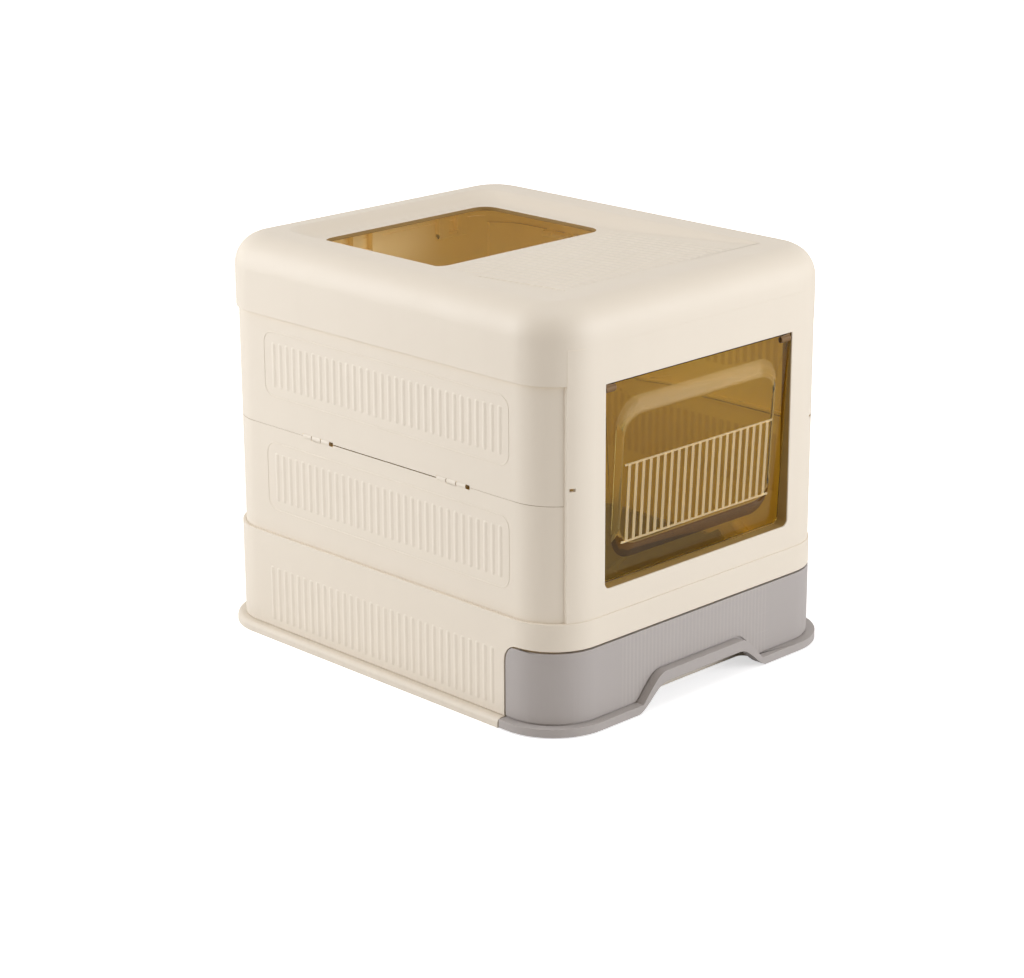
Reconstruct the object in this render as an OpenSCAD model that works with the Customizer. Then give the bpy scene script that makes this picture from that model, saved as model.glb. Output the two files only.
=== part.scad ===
// Drawer litter box with folding walls.
// Millimetres. X runs to the right, Y to the back, Z up. The origin is on the
// floor under the middle of the box, and the drawer pulls out towards -Y.

/* [Overall] */
// Width over the foot bead
overall_w = 370; // [350:1:420]
// Depth over the foot bead
overall_d = 445; // [420:1:520]
// Height of the roof crest above the floor
overall_h = 365; // [350:1:400]

/* [Base] */
// Height of the base rim above the floor
base_h = 98; // [96:1:110]
// Thickness of the base walls
base_wall = 2.6; // [2:0.1:2.8]
// Thickness of the base floor
floor_t = 2.6; // [2:0.1:4]
// Outer corner radius of the base walls
base_r = 48; // [42:1:56]
// Height of the foot bead round the bottom
foot_h = 8.5; // [6:0.5:14]
// How far the foot bead stands out from the walls
foot_out = 8; // [5:0.5:10]
// Height of the two floor ribs that guide the drawer
guide_h = 9; // [5:0.5:14]
// Depth of the rail under the front band
rail_d = 7; // [4:0.5:9]
// Thickness of the floor ribs
guide_t = 2; // [1.5:0.1:3]
// Distance of the floor ribs behind the wrapped ends of the drawer front
guide_start = 20; // [10:1:40]

/* [Drawer] */
// Height of the top of the drawer front
drawer_h = 73; // [66:0.5:73.5]
// How far the drawer front wraps back along the sides
drawer_wrap = 58; // [52:1:70]
// Radius of the upper rear corners of the drawer front
drawer_corner = 14; // [8:1:20]
// Thickness of the drawer front
fascia_t = 2.6; // [2:0.1:3.5]
// Thickness of the tray walls and its floor
tray_wall = 2.2; // [1.6:0.1:3]
// Height of the tray rim
tray_h = 68; // [55:1:69]
// Outer corner radius of the tray
tray_r = 22; // [14:1:34]
// Space between the tray sides and the base walls
tray_side_gap = 9.4; // [8.5:0.1:16]
// Space between the tray and the rear wall of the base
tray_rear_gap = 12; // [6:1:30]
// Depth of the finger recess behind the drawer front
recess_d = 28; // [22:1:40]
// Width of the rim lip round the tray
lip_w = 3; // [1.5:0.5:4]
// Height of the hand arch above the floor, to the top of its bead
arch_h = 32; // [26:1:40]
// Width of the hand arch at its top
arch_top_w = 96; // [70:1:130]
// Width of the hand arch at the floor
arch_foot_w = 186; // [150:1:220]

/* [Walls] */
// Thickness of the side, front and rear panels
panel_t = 2.6; // [2:0.1:3]
// How far the side panels lie inside the base walls
panel_in = 3.2; // [3.2:0.1:5]
// Height of the hood from its lower edge to the roof crest
hood_h = 65; // [58:1:72]
// Depth of the stiffening flanges along the panel edges
flange_d = 7; // [5:0.5:9]
// Distance of the corner seams from the side faces of the hood
corner_in = 22; // [19:0.5:26]
// How far the front and rear panels rise above the hood's lower edge
front_rise = 30; // [26:0.5:32]
// How far the lower tongue of the front and rear panels reaches behind the base
tongue_h = 10; // [5:0.5:14]

/* [Hood] */
// Thickness of the hood
hood_wall = 2; // [1.6:0.1:2.6]
// Radius of the rounded roof edges
round_r = 28; // [22:1:31]
// Width of the roof on each side of the opening
roof_side_w = 72.7; // [69:0.1:92]
// Width of the roof behind the opening
roof_rear_w = 60.7; // [57:0.1:80]
// Depth of the roof opening
mouth_d = 154; // [120:1:160]
// Corner radius of the roof opening
mouth_r = 16; // [8:1:40]
// How far the opening lies below the roof crest
dish_depth = 10; // [6:0.5:14]
// Width of the slope from the crest down to the opening
dish_slope = 16; // [12:1:18]
// Flat lip round the opening
mouth_lip = 7; // [5:0.5:10]
// Width of the roof edge in front of the tread
roof_front_w = 48.7; // [44:0.1:80]
// Depth of the step at the front end of the tread
tread_step = 2; // [1.4:0.1:4]
// Number of ridges on the tread
tread_ridges = 24; // [8:1:40]
// Width of one ridge
ridge_w = 3; // [1.5:0.1:4]
// How far the ridges stand up
ridge_h = 0.9; // [0.4:0.1:1.2]

/* [Window and flap] */
// Width of the front panel on each side of the window
jamb_w = 37.7; // [34:0.1:50]
// Height of the front panel above the window
head_h = 33; // [30:0.5:60]
// Height of the sill above the base rim
sill_h = 22; // [16:1:40]
// Depth of the frame round the window
frame_d = 12; // [8:0.5:16]
// Gap between the flap and the window frame
flap_gap = 1; // [0.6:0.1:2]
// Thickness of the flap
flap_t = 2.2; // [1.8:0.1:3]
// Angle in degrees at which the flap hangs inwards, because of the weight of its bulge
flap_lean = 3; // [0:0.5:4]
// How far the flap's panel bulges outwards
bulge_h = 4.5; // [3:0.5:6]
// Margin between the flap's edge and its bulge
bulge_margin = 14.5; // [12:0.5:20]
// Corner radius of the bulge
bulge_r = 24; // [14:1:30]
// Width of the bulge's slopes at its sides
bulge_side = 5; // [4:0.5:8]
// Height of the bulge's slopes at its top and bottom
bulge_end = 15; // [8:0.5:18]
// Number of upright ribs on the bulge
flap_ribs = 21; // [5:1:30]
// Width of one rib of the bulge
flap_rib_w = 3.6; // [1:0.1:4]
// How far the ribs of the bulge stand out
flap_rib_h = 0.8; // [0.3:0.1:0.9]
// Height of the ribs above the bulge's lower edge
flap_rib_foot = 19; // [12:0.5:30]
// Distance of the ribs below the bulge's upper edge
flap_rib_head = 58; // [20:1:70]

/* [Ribs] */
// Spacing of the upright ribs on the walls
rib_pitch = 8.9; // [7:0.1:16]
// Width of one rib
rib_w = 5.4; // [3:0.1:6]
// How far the ribs stand out
rib_h = 0.8; // [0.4:0.1:1.2]
// Least distance of a framed row of ribs from the corners
rib_end = 5; // [1:0.5:20]
// Height of the base's ribs above the foot bead
base_rib_foot = 6.5; // [3:0.5:12]
// Distance of the base's ribs below the rim
base_rib_head = 30; // [22:1:40]
// Height of the lower panels' ribs above the base rim
lower_rib_foot = 31; // [14:1:40]
// Distance of the lower panels' ribs below the fold
lower_rib_head = 23; // [16:1:36]
// Height of the upper panels' ribs above the fold
upper_rib_foot = 36; // [16:1:42]
// Distance of the upper panels' ribs below the hood
upper_rib_head = 22; // [14:1:30]
// How far the ribs and fold hinges of the walls lie ahead of the middle
wall_shift = 5; // [0:0.5:8]
// How far the ribs of the base lie behind the middle
base_rib_shift = 1; // [0:0.5:14]
// Margin between a row of ribs and the bead that frames it
frame_margin = 9; // [7:0.5:10]

/* [Hinges] */
// Radius of the hinge pins
pin_r = 1.5; // [1:0.1:1.6]
// Outer radius of the hinge barrels
barrel_r = 3.1; // [2.8:0.1:3.2]
// Length of one hinge barrel
barrel_l = 12; // [8:0.5:16]
// Distance between a fold hinge and the corner
fold_hinge_in = 62.5; // [40:0.5:90]
// Distance between a base or hood hinge and the corner
edge_hinge_in = 26.5; // [20:0.5:60]
// Distance between an outer front or rear hinge and the corner
cross_hinge_in = 0.5; // [0.5:0.5:40]
// Length of the pocket at the front end of a fold hinge
pocket_l = 4; // [1:0.5:6]

/* [Clearances] */
// Gap at the visible seams between the shells
seam = 0.6; // [0.4:0.1:1]
// Gap between a panel and the shell it tucks into
tuck_gap = 0.4; // [0.3:0.1:0.6]
// Radial clearance of a pin in its barrel
pin_gap = 0.05; // [0.02:0.01:0.1]
// Gap between moving pieces
run_gap = 1; // [0.9:0.1:1.4]

/* [Hidden] */
$fn = 96;
far = 1000;
// Overshoots of cuts, and overlaps of pieces that are one moulding
eps = 0.01;
over = 1;
skin = 0.1;

cream = "#e9e0cf";
grey = "#bdb5b0";
amber = [0.62, 0.42, 0.12, 0.6];
steel = "#8d8f92";

// Outer faces of the base walls
wall_x = overall_w / 2 - foot_out;
wall_y = overall_d / 2 - foot_out;
// Outer faces of the side panels
panel_x = wall_x - panel_in;
panel_y = wall_y - panel_in;
panel_r = base_r - panel_in;
// Where the corners start, the same on the base, the panels and the hood
corner_x = wall_x - base_r;
corner_y = wall_y - base_r;
// Outer faces of the hood and of the front and rear panels, which lie flush with it
hood_step = hood_wall + tuck_gap;
hood_x = panel_x + hood_step;
hood_y = panel_y + hood_step;
hood_r = panel_r + hood_step;
seam_x = hood_x - corner_in;

// Levels
hood_z = overall_h - hood_h;
fold_z = (base_h + hood_z) / 2;
hinge_reach = barrel_r + tuck_gap;
base_axis_z = drawer_h + 2 * run_gap + hinge_reach;
hood_axis_z = 2 * fold_z - base_axis_z;
panel_low_z = base_axis_z - hinge_reach;
panel_high_z = hood_axis_z + hinge_reach;
front_seam_z = hood_z + front_rise;
front_top_z = front_seam_z - run_gap;
front_low_z = base_h + seam;
round_z = overall_h - round_r;

// Hinges
edge_axis_x = panel_x - panel_t - barrel_r;
fold_axis_x = panel_x + rib_h - barrel_r;
cross_drop = 12;
cross_axis_y = hood_y - panel_t - tuck_gap - barrel_r;
cross_axis_z = front_top_z - cross_drop;
bore_r = pin_r + pin_gap;
pocket_r = barrel_r - tuck_gap;
hinge_l = 3 * barrel_l;
end_gap = 0.3;
pin_inset = 0.5;
fold_hinge_y = corner_y - fold_hinge_in - hinge_l / 2;
edge_hinge_y = corner_y - edge_hinge_in - hinge_l / 2;
cross_hinge_x = corner_x - cross_hinge_in - hinge_l / 2;
fold_ys = [-fold_hinge_y - wall_shift, fold_hinge_y - wall_shift];
edge_ys = [-edge_hinge_y, edge_hinge_y];
cross_xs = [-cross_hinge_x, 0, cross_hinge_x];

// Rows of ribs on the walls
rib_room = 2 * (corner_y - frame_margin - wall_shift - rib_end) - rib_w;
rib_count = floor(rib_room / rib_pitch) + 1;
frame_bead = 1.5;

// Window and flap
window_w = 2 * (seam_x - jamb_w);
window_z = base_h + sill_h;
window_top_z = front_top_z - head_h;
window_r = 6;
flap_w = window_w - 2 * flap_gap;
flap_low_z = window_z + flap_gap;
flap_top_z = window_top_z - flap_gap;
flap_axis_drop = 4;
flap_axis_z = flap_top_z - flap_axis_drop;
flap_pin_l = 12;
flap_boss_r = 3;
flap_boss_in = 0.2;
flap_axis_y = -(hood_y - flap_boss_in - flap_boss_r);
flap_boss_wall = 0.8;
bulge_w = flap_w - 2 * bulge_margin;
bulge_low_z = flap_low_z + bulge_margin;
bulge_high_z = flap_top_z - bulge_margin;
bulge_side_in = 3;
bead_w = 1.6;
bead_h = 1;
rib_field_w = bulge_w - 2 * (bulge_side + bulge_side_in);
rib_field_end = 6;

// Roof opening and its dish
mouth_w = 2 * (hood_x - roof_side_w);
mouth_back_y = hood_y - roof_rear_w;
mouth_front_y = mouth_back_y - mouth_d;
mouth_z = overall_h - dish_depth;
dish_x = mouth_w / 2 + mouth_lip;
dish_front_y = mouth_front_y - mouth_lip;
dish_back_y = mouth_back_y + mouth_lip;
tread_front_y = roof_front_w - hood_y;
tread_front_z = overall_h - tread_step;
tread_run = dish_front_y - tread_front_y;
tread_angle = atan((tread_front_z - mouth_z) / tread_run);
tread_t = 1.4;
tread_edge = 3;
tread_lift = 0.05;
tread_w = 2 * (dish_x - tread_edge);
tread_l = tread_run - 2 * tread_edge;
ridge_margin = 5;
ridge_end = 4;

// Drawer
fascia_end_y = -wall_y + drawer_wrap;
drawer_z = run_gap;
tray_x = wall_x - base_wall - tray_side_gap;
tray_front_y = -wall_y + recess_d;
tray_back_y = wall_y - base_wall - tray_rear_gap;
tray_z = floor_t + run_gap;
deck_t = 2.6;
arch_steps = 16;
arch_band = 10;
arch_flank = 6.5;
grip_top_w = arch_top_w - 2;
grip_foot_w = arch_foot_w - 2 * arch_flank;
finger_cut_y = tray_front_y - 4;
finger_cut_r = 8;

// Catches between the front panel and the side panels
catch_z = fold_z + 14;
catch_h = 3.6;
catch_w = 3.2;
catch_in = 1.8;
catch_root = 1.6;
catch_hook = 1.2;

// ---------------------------------------------------------------- outlines

// Rectangle with round corners, centred
module round_rect(w, d, r) {
    square([w - 2 * r, d], center = true);
    square([w, d - 2 * r], center = true);
    for (x = [-1, 1], y = [-1, 1])
        translate([x * (w / 2 - r), y * (d / 2 - r)]) circle(r);
}

// Ring of even thickness t inside a rounded rectangle of half sizes hx and hy
module wall_ring(hx, hy, r, t) {
    difference() {
        round_rect(2 * hx, 2 * hy, r);
        round_rect(2 * (hx - t), 2 * (hy - t), r - t);
    }
}

// Part of the plan to the left of the corner seam
module left_side() {
    translate([-far - seam_x - seam / 2, -far / 2]) square([far, far]);
}

// Part of the plan between the corner seams, in front of the middle
module front_side() {
    translate([-seam_x + seam / 2, -far]) square([2 * seam_x - seam, far]);
}

// Row of upright pills between two heights, drawn in the YZ plane as (y, z)
module rib_row(low, high) {
    for (i = [0 : rib_count - 1])
        translate([(i - (rib_count - 1) / 2) * rib_pitch, (low + high) / 2]) {
            square([rib_w, high - low - rib_w], center = true);
            for (s = [-1, 1]) translate([0, s * (high - low - rib_w) / 2]) circle(rib_w / 2);
        }
}

// Turns a (y, z) outline into a slab from x to x + t
module slab_x(x, t) {
    translate([x, 0, 0]) rotate([90, 0, 90]) linear_extrude(t) children();
}

// Turns an (x, z) outline into a slab from y to y + t
module slab_y(y, t) {
    translate([0, y + t, 0]) rotate([90, 0, 0]) linear_extrude(t) children();
}

// Cylinder along Y from y
module rod_y(x, y, z, r, l) {
    translate([x, y, z]) rotate([-90, 0, 0]) cylinder(r = r, h = l);
}

// Cylinder along X from x
module rod_x(x, y, z, r, l) {
    translate([x, y, z]) rotate([0, 90, 0]) cylinder(r = r, h = l);
}

// Block between two corners
module block(a, b) {
    translate(a) cube([b[0] - a[0], b[1] - a[1], b[2] - a[2]]);
}

// ---------------------------------------------------------------- base

// Side outline of the cut that the drawer front fills, as (y, z)
module drawer_cut(gap) {
    end = fascia_end_y + gap;
    top = drawer_h + gap;
    r = drawer_corner + gap;
    translate([-far, -far]) square([far + end - r, far + top]);
    translate([-far, -far]) square([far + end, far + top - r]);
    translate([end - r, top - r]) circle(r);
}

// Bracket on a side wall that carries the two outer barrels of an edge hinge
module side_brackets(wall_in, z) {
    for (y = edge_ys, s = [-1, 1])
        translate([0, y + s * barrel_l, 0]) {
            rod_y(-edge_axis_x, -barrel_l / 2, z, barrel_r, barrel_l);
            block([-wall_in - skin, -barrel_l / 2, z - barrel_r],
                  [-edge_axis_x, barrel_l / 2, z + barrel_r]);
        }
}

module side_bracket_bores(z) {
    for (y = edge_ys)
        rod_y(-edge_axis_x, y - hinge_l / 2 - eps, z, bore_r, hinge_l + 2 * eps);
}

module base() {
    inner_x = wall_x - base_wall;
    inner_y = wall_y - base_wall;
    inner_r = base_r - base_wall;
    slip = fascia_t + run_gap;
    color(cream) {
        difference() {
            union() {
                linear_extrude(base_h) wall_ring(wall_x, wall_y, base_r, base_wall);
                linear_extrude(foot_h) wall_ring(overall_w / 2, overall_d / 2, base_r + foot_out,
                                                 foot_out + base_wall / 2);
                // Upright ribs on both sides, between the foot bead and the rim
                for (s = [0, 1]) mirror([s, 0, 0])
                    slab_x(-wall_x - rib_h, rib_h + base_wall / 2)
                        translate([base_rib_shift, 0]) rib_row(foot_h + base_rib_foot, base_h - base_rib_head);
            }
            slab_x(-far / 2, far) drawer_cut(run_gap);
        }
        // Floor, stopping short of the drawer front and cut away under the hand arch
        linear_extrude(floor_t) {
            intersection() {
                round_rect(2 * (wall_x - base_wall / 2), 2 * (wall_y - base_wall / 2), base_r - base_wall / 2);
                translate([-far / 2, fascia_end_y + run_gap]) square([far, far]);
            }
            difference() {
                intersection() {
                    round_rect(2 * (wall_x - slip), 2 * (wall_y - slip), base_r - slip);
                    translate([-far / 2, -far]) square([far, far + fascia_end_y + 2 * run_gap]);
                }
                translate([0, finger_cut_y - far / 2]) round_rect(grip_foot_w, far, finger_cut_r);
            }
        }
        // Rail under the front band, between the side panels
        translate([0, 0, drawer_h + run_gap]) linear_extrude(base_wall)
            intersection() {
                wall_ring(wall_x - base_wall / 2, wall_y - base_wall / 2, base_r - base_wall / 2, rail_d);
                front_side();
                translate([-far / 2, -far]) square([far, far - tray_back_y]);
            }
        // Floor ribs that keep the tray straight
        for (s = [-1, 1])
            translate([s * (tray_x + run_gap + guide_t / 2) - guide_t / 2, fascia_end_y + guide_start, floor_t - eps])
                cube([guide_t, tray_back_y - tray_r - fascia_end_y - guide_start, guide_h]);
        for (s = [0, 1]) mirror([s, 0, 0])
            difference() {
                side_brackets(inner_x, base_axis_z);
                side_bracket_bores(base_axis_z);
            }
    }
}

// ---------------------------------------------------------------- drawer

// Hand arch as an (x, z) outline: flat on top with S-shaped flanks
module arch(top_w, foot_w, h) {
    flank = [for (i = [0 : arch_steps])
        [top_w / 2 + (foot_w - top_w) / 2 * i / arch_steps, h * (1 + cos(180 * i / arch_steps)) / 2]];
    polygon(concat(
        [[-foot_w / 2, -1]],
        [for (i = [arch_steps : -1 : 0]) [-flank[i][0], flank[i][1]]],
        flank,
        [[foot_w / 2, -1]]));
}

module litter_drawer() {
    color(grey) {
        difference() {
            union() {
                // Front that wraps round both corners
                intersection() {
                    translate([0, 0, drawer_z]) linear_extrude(drawer_h - drawer_z)
                        wall_ring(wall_x, wall_y, base_r, fascia_t);
                    slab_x(-far / 2, far) drawer_cut(0);
                }
                // Foot bead, which climbs over the hand arch
                translate([0, 0, drawer_z]) linear_extrude(foot_h - drawer_z)
                    intersection() {
                        wall_ring(overall_w / 2, overall_d / 2, base_r + foot_out, foot_out + fascia_t / 2);
                        translate([-far / 2, -far]) square([far, far + fascia_end_y]);
                    }
                slab_y(-overall_d / 2, foot_out + fascia_t / 2)
                    intersection() {
                        arch(arch_top_w, arch_foot_w, arch_h);
                        translate([-far / 2, drawer_z]) square([far, far]);
                    }
            }
            slab_y(-overall_d / 2 - eps, foot_out + fascia_t + 2 * eps)
                arch(grip_top_w, grip_foot_w, arch_h - arch_band);
        }
        // Deck from the front back to the tray
        translate([0, 0, drawer_h - deck_t]) linear_extrude(deck_t)
            intersection() {
                round_rect(2 * (wall_x - fascia_t / 2), 2 * (wall_y - fascia_t / 2), base_r - fascia_t / 2);
                translate([-far / 2, -far]) square([far, far + tray_front_y + tray_wall]);
            }
        // Tray
        difference() {
            translate([0, (tray_front_y + tray_back_y) / 2, 0]) {
                translate([0, 0, tray_z]) linear_extrude(tray_h - tray_z)
                    round_rect(2 * tray_x, tray_back_y - tray_front_y, tray_r);
                translate([0, 0, tray_h - tray_wall]) linear_extrude(tray_wall)
                    round_rect(2 * (tray_x + lip_w), tray_back_y - tray_front_y + 2 * lip_w, tray_r + lip_w);
            }
            translate([0, (tray_front_y + tray_back_y) / 2, tray_z + tray_wall]) linear_extrude(tray_h)
                round_rect(2 * (tray_x - tray_wall), tray_back_y - tray_front_y - 2 * tray_wall,
                           tray_r - tray_wall);
        }
        // Front wall of the tray, raised to the deck
        block([-tray_x + tray_r, tray_front_y, tray_h - tray_wall],
              [tray_x - tray_r, tray_front_y + tray_wall, drawer_h]);
    }
}

// ---------------------------------------------------------------- side panels

// Plain wall of a left side panel between two levels, with its edge flanges
module side_shell(low, high) {
    translate([0, 0, low]) linear_extrude(high - low)
        intersection() {
            wall_ring(panel_x, panel_y, panel_r, panel_t);
            left_side();
        }
}

module side_flange(z) {
    translate([0, 0, z]) linear_extrude(panel_t)
        intersection() {
            wall_ring(panel_x, panel_y, panel_r, flange_d);
            left_side();
        }
}

// Upright ribs and the bead that frames them
module side_ribs(low, high) {
    slab_x(-panel_x - rib_h, rib_h + panel_t / 2) translate([-wall_shift, 0]) rib_row(low, high);
    slab_x(-panel_x - rib_h / 2, rib_h)
        translate([-wall_shift, (low + high) / 2])
            difference() {
                rib_frame(high - low, frame_margin);
                rib_frame(high - low, frame_margin - frame_bead);
            }
}

// Outline that lies a margin outside a row of ribs of height h
module rib_frame(h, margin) {
    l = (rib_count - 1) * rib_pitch + rib_w;
    round_rect(l + 2 * margin, h + 2 * margin, margin + rib_w / 2);
}

// Middle barrel of an edge hinge, carried by the panel
module panel_edge_barrels(z) {
    for (y = edge_ys)
        difference() {
            union() {
                rod_y(-edge_axis_x, y - barrel_l / 2 + end_gap, z, barrel_r, barrel_l - 2 * end_gap);
                block([-panel_x + panel_t / 2, y - barrel_l / 2 + end_gap, z - barrel_r],
                      [-edge_axis_x, y + barrel_l / 2 - end_gap, z + barrel_r]);
            }
            rod_y(-edge_axis_x, y - hinge_l, z, bore_r, 2 * hinge_l);
        }
}

// Notches in a panel where the brackets of the base or hood reach through it
module panel_edge_notches(low, high) {
    for (y = edge_ys, s = [-1, 1])
        block([-panel_x - over, y + s * barrel_l - barrel_l / 2 - end_gap, low],
              [-edge_axis_x + 2 * barrel_r, y + s * barrel_l + barrel_l / 2 + end_gap, high]);
}

// Barrels on the fold line: places 0 and 2 belong to the lower panel, place 1 to the upper
module fold_barrels(places, r, gap) {
    for (y = fold_ys, i = places)
        rod_y(-fold_axis_x, y - hinge_l / 2 + i * barrel_l - gap, fold_z, r, barrel_l + 2 * gap);
}

// Bores on the fold line, open at the front end so that the pin can be driven in
module fold_bores() {
    for (y = fold_ys) {
        rod_y(-fold_axis_x, y - hinge_l / 2 - eps, fold_z, bore_r, hinge_l + 2 * eps);
        rod_y(-fold_axis_x, y - hinge_l / 2 - pocket_l, fold_z, pocket_r, pocket_l + eps);
    }
}

module lower_panel() {
    rim = fold_z - seam / 2;
    difference() {
        union() {
            difference() {
                union() {
                    side_shell(panel_low_z, rim);
                    side_flange(rim - panel_t);
                    side_ribs(base_h + lower_rib_foot, rim - lower_rib_head);
                }
                panel_edge_notches(panel_low_z - over, base_axis_z + barrel_r + end_gap);
                fold_barrels([1], barrel_r + tuck_gap, end_gap);
            }
            fold_barrels([0, 2], barrel_r, 0);
        }
        fold_bores();
    }
    panel_edge_barrels(base_axis_z);
}

module upper_panel() {
    rim = fold_z + seam / 2;
    difference() {
        union() {
            difference() {
                union() {
                    side_shell(rim, panel_high_z);
                    side_flange(rim);
                    side_ribs(rim + upper_rib_foot, hood_z - upper_rib_head);
                }
                panel_edge_notches(hood_axis_z - barrel_r - end_gap, panel_high_z + over);
                fold_barrels([0, 2], barrel_r + tuck_gap, end_gap);
            }
            fold_barrels([1], barrel_r, -end_gap);
        }
        fold_bores();
    }
    panel_edge_barrels(hood_axis_z);
    panel_catch();
}

// Hook on the front end of the upper panel, whose nose sits in the front panel's slot
module panel_catch() {
    arm_y = run_gap - (corner_y + sqrt(pow(hood_r - panel_t, 2) - pow(seam_x - corner_x, 2)));
    low = catch_z - catch_h / 2 + seam;
    high = catch_z + catch_h / 2 - seam;
    nose_x = -seam_x + catch_in + tuck_gap;
    tip_x = -seam_x + catch_in + catch_w - tuck_gap;
    block([-seam_x - catch_root, arm_y, low], [tip_x, arm_y + panel_t, high]);
    block([nose_x, arm_y - run_gap - panel_t - catch_hook, low], [tip_x, arm_y + eps, high]);
}

// ---------------------------------------------------------------- front and rear panels

// Plain wall between the corner seams with a flange and a tongue at its foot
module cross_shell() {
    translate([0, 0, front_low_z]) linear_extrude(front_top_z - front_low_z)
        intersection() {
            wall_ring(hood_x, hood_y, hood_r, panel_t);
            front_side();
        }
    translate([0, 0, front_low_z]) linear_extrude(panel_t)
        intersection() {
            wall_ring(hood_x, hood_y, hood_r, flange_d);
            front_side();
        }
    tongue_y = wall_y - base_wall - tuck_gap;
    block([-corner_x, -tongue_y, base_h - tongue_h], [corner_x, -tongue_y + panel_t, front_low_z + panel_t]);
}

// Middle barrels of the hinges between the hood and the front or rear panel
module cross_panel_barrels() {
    for (x = cross_xs)
        difference() {
            union() {
                rod_x(x - barrel_l / 2 + end_gap, -cross_axis_y, cross_axis_z, barrel_r, barrel_l - 2 * end_gap);
                block([x - barrel_l / 2 + end_gap, -hood_y + panel_t / 2, cross_axis_z - barrel_r],
                      [x + barrel_l / 2 - end_gap, -cross_axis_y, cross_axis_z + barrel_r]);
            }
            rod_x(x - hinge_l, -cross_axis_y, cross_axis_z, bore_r, 2 * hinge_l);
        }
}

// Window outline as (x, z): square above for the flap's pins, rounded below
module window(grow) {
    w = window_w + 2 * grow;
    low = window_z - grow;
    high = window_top_z + grow;
    r = window_r + grow;
    translate([-w / 2, low + r]) square([w, high - low - r]);
    translate([-w / 2 + r, low]) square([w - 2 * r, high - low]);
    for (s = [-1, 1]) translate([s * (w / 2 - r), low + r]) circle(r);
}

module front_panel() {
    boss_l = flap_pin_l / 2 + flap_boss_wall;
    color(cream) {
        difference() {
            union() {
                cross_shell();
                slab_y(-hood_y, frame_d) window(panel_t);
                // Bosses for the flap's pins
                for (s = [-1, 1])
                    rod_x(s * (window_w + boss_l) / 2 - boss_l / 2, flap_axis_y, flap_axis_z, flap_boss_r, boss_l);
            }
            slab_y(-hood_y - over, frame_d + 2 * over) window(0);
            rod_x(-window_w / 2 - flap_pin_l / 2, flap_axis_y, flap_axis_z, bore_r, window_w + flap_pin_l);
            for (s = [0, 1]) mirror([s, 0, 0])
                block([-seam_x + catch_in, -far, catch_z - catch_h / 2],
                      [-seam_x + catch_in + catch_w, -panel_y / 2, catch_z + catch_h / 2]);
        }
        cross_panel_barrels();
    }
}

module rear_panel() {
    color(cream) mirror([0, 1, 0]) {
        cross_shell();
        cross_panel_barrels();
    }
}

// ---------------------------------------------------------------- hood

// Outline of the hood's wall and roof edge, as (distance from the corner's centre, height)
module hood_profile() {
    difference() {
        hood_section(hood_r, hood_z, overall_h, round_r);
        hood_section(hood_r - hood_wall, hood_z - over, overall_h - hood_wall, round_r - hood_wall);
    }
}

module hood_section(r, low, high, edge) {
    translate([0, low]) square([r, high - low - edge]);
    translate([0, low]) square([r - edge, high - low]);
    intersection() {
        translate([r - edge, high - edge]) circle(edge);
        translate([0, low]) square([r + over, high - low]);
    }
}

// Hood shell: four corner sweeps, four straight walls and the flat roof
module hood_shell() {
    for (sx = [0, 1], sy = [0, 1]) mirror([sx, 0, 0]) mirror([0, sy, 0])
        translate([corner_x, corner_y, 0]) rotate_extrude(angle = 90) hood_profile();
    for (s = [0, 1]) mirror([s, 0, 0])
        translate([corner_x, corner_y, 0]) rotate([90, 0, 0]) linear_extrude(2 * corner_y) hood_profile();
    for (s = [0, 1]) mirror([0, s, 0])
        translate([-corner_x, corner_y, 0]) rotate([90, 0, 90]) linear_extrude(2 * corner_x) hood_profile();
    translate([-corner_x, -corner_y, overall_h - hood_wall]) cube([2 * corner_x, 2 * corner_y, hood_wall]);
}

// Space of the dish round the opening: side slopes crossed with the tread's slope.
// grow widens it and drop lowers it, for the underside of the dish.
module dish(grow, drop) {
    top = overall_h + over;
    run = dish_slope * (dish_depth + over) / dish_depth;
    intersection() {
        slab_y(-far / 2, far) translate([0, -drop])
            polygon([[-dish_x - grow, mouth_z], [dish_x + grow, mouth_z],
                     [dish_x + run + grow, top], [-dish_x - run - grow, top]]);
        slab_x(-far / 2, far) translate([0, -drop])
            polygon([[dish_front_y, mouth_z], [dish_back_y + grow, mouth_z],
                     [dish_back_y + run + grow, top], [tread_front_y - grow, top],
                     [tread_front_y - grow, tread_front_z]]);
    }
}

// Plan of the roof opening
module mouth(grow) {
    translate([0, (mouth_front_y + mouth_back_y) / 2])
        round_rect(mouth_w + 2 * grow, mouth_d + 2 * grow, mouth_r + grow);
}

// Height of the middle of the hood's shell above a distance y from the centre
function shell_z(y) = round_z + sqrt(pow(round_r - hood_wall / 2, 2) - pow(max(0, y - (hood_y - round_r)), 2));

// Outer barrels of the front or rear hinge, on webs that hang from the roof edge
module cross_brackets() {
    outer = cross_axis_y + barrel_r;
    inner = cross_axis_y - barrel_r;
    for (x = cross_xs, s = [-1, 1])
        translate([x + s * barrel_l - barrel_l / 2, 0, 0])
            difference() {
                union() {
                    rod_x(0, cross_axis_y, cross_axis_z, barrel_r, barrel_l);
                    slab_x(0, barrel_l)
                        polygon([[inner, cross_axis_z], [outer, cross_axis_z], [outer, shell_z(outer)],
                                 [cross_axis_y, shell_z(cross_axis_y)], [inner, shell_z(inner)]]);
                }
                rod_x(-eps, cross_axis_y, cross_axis_z, bore_r, barrel_l + 2 * eps);
            }
}

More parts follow.
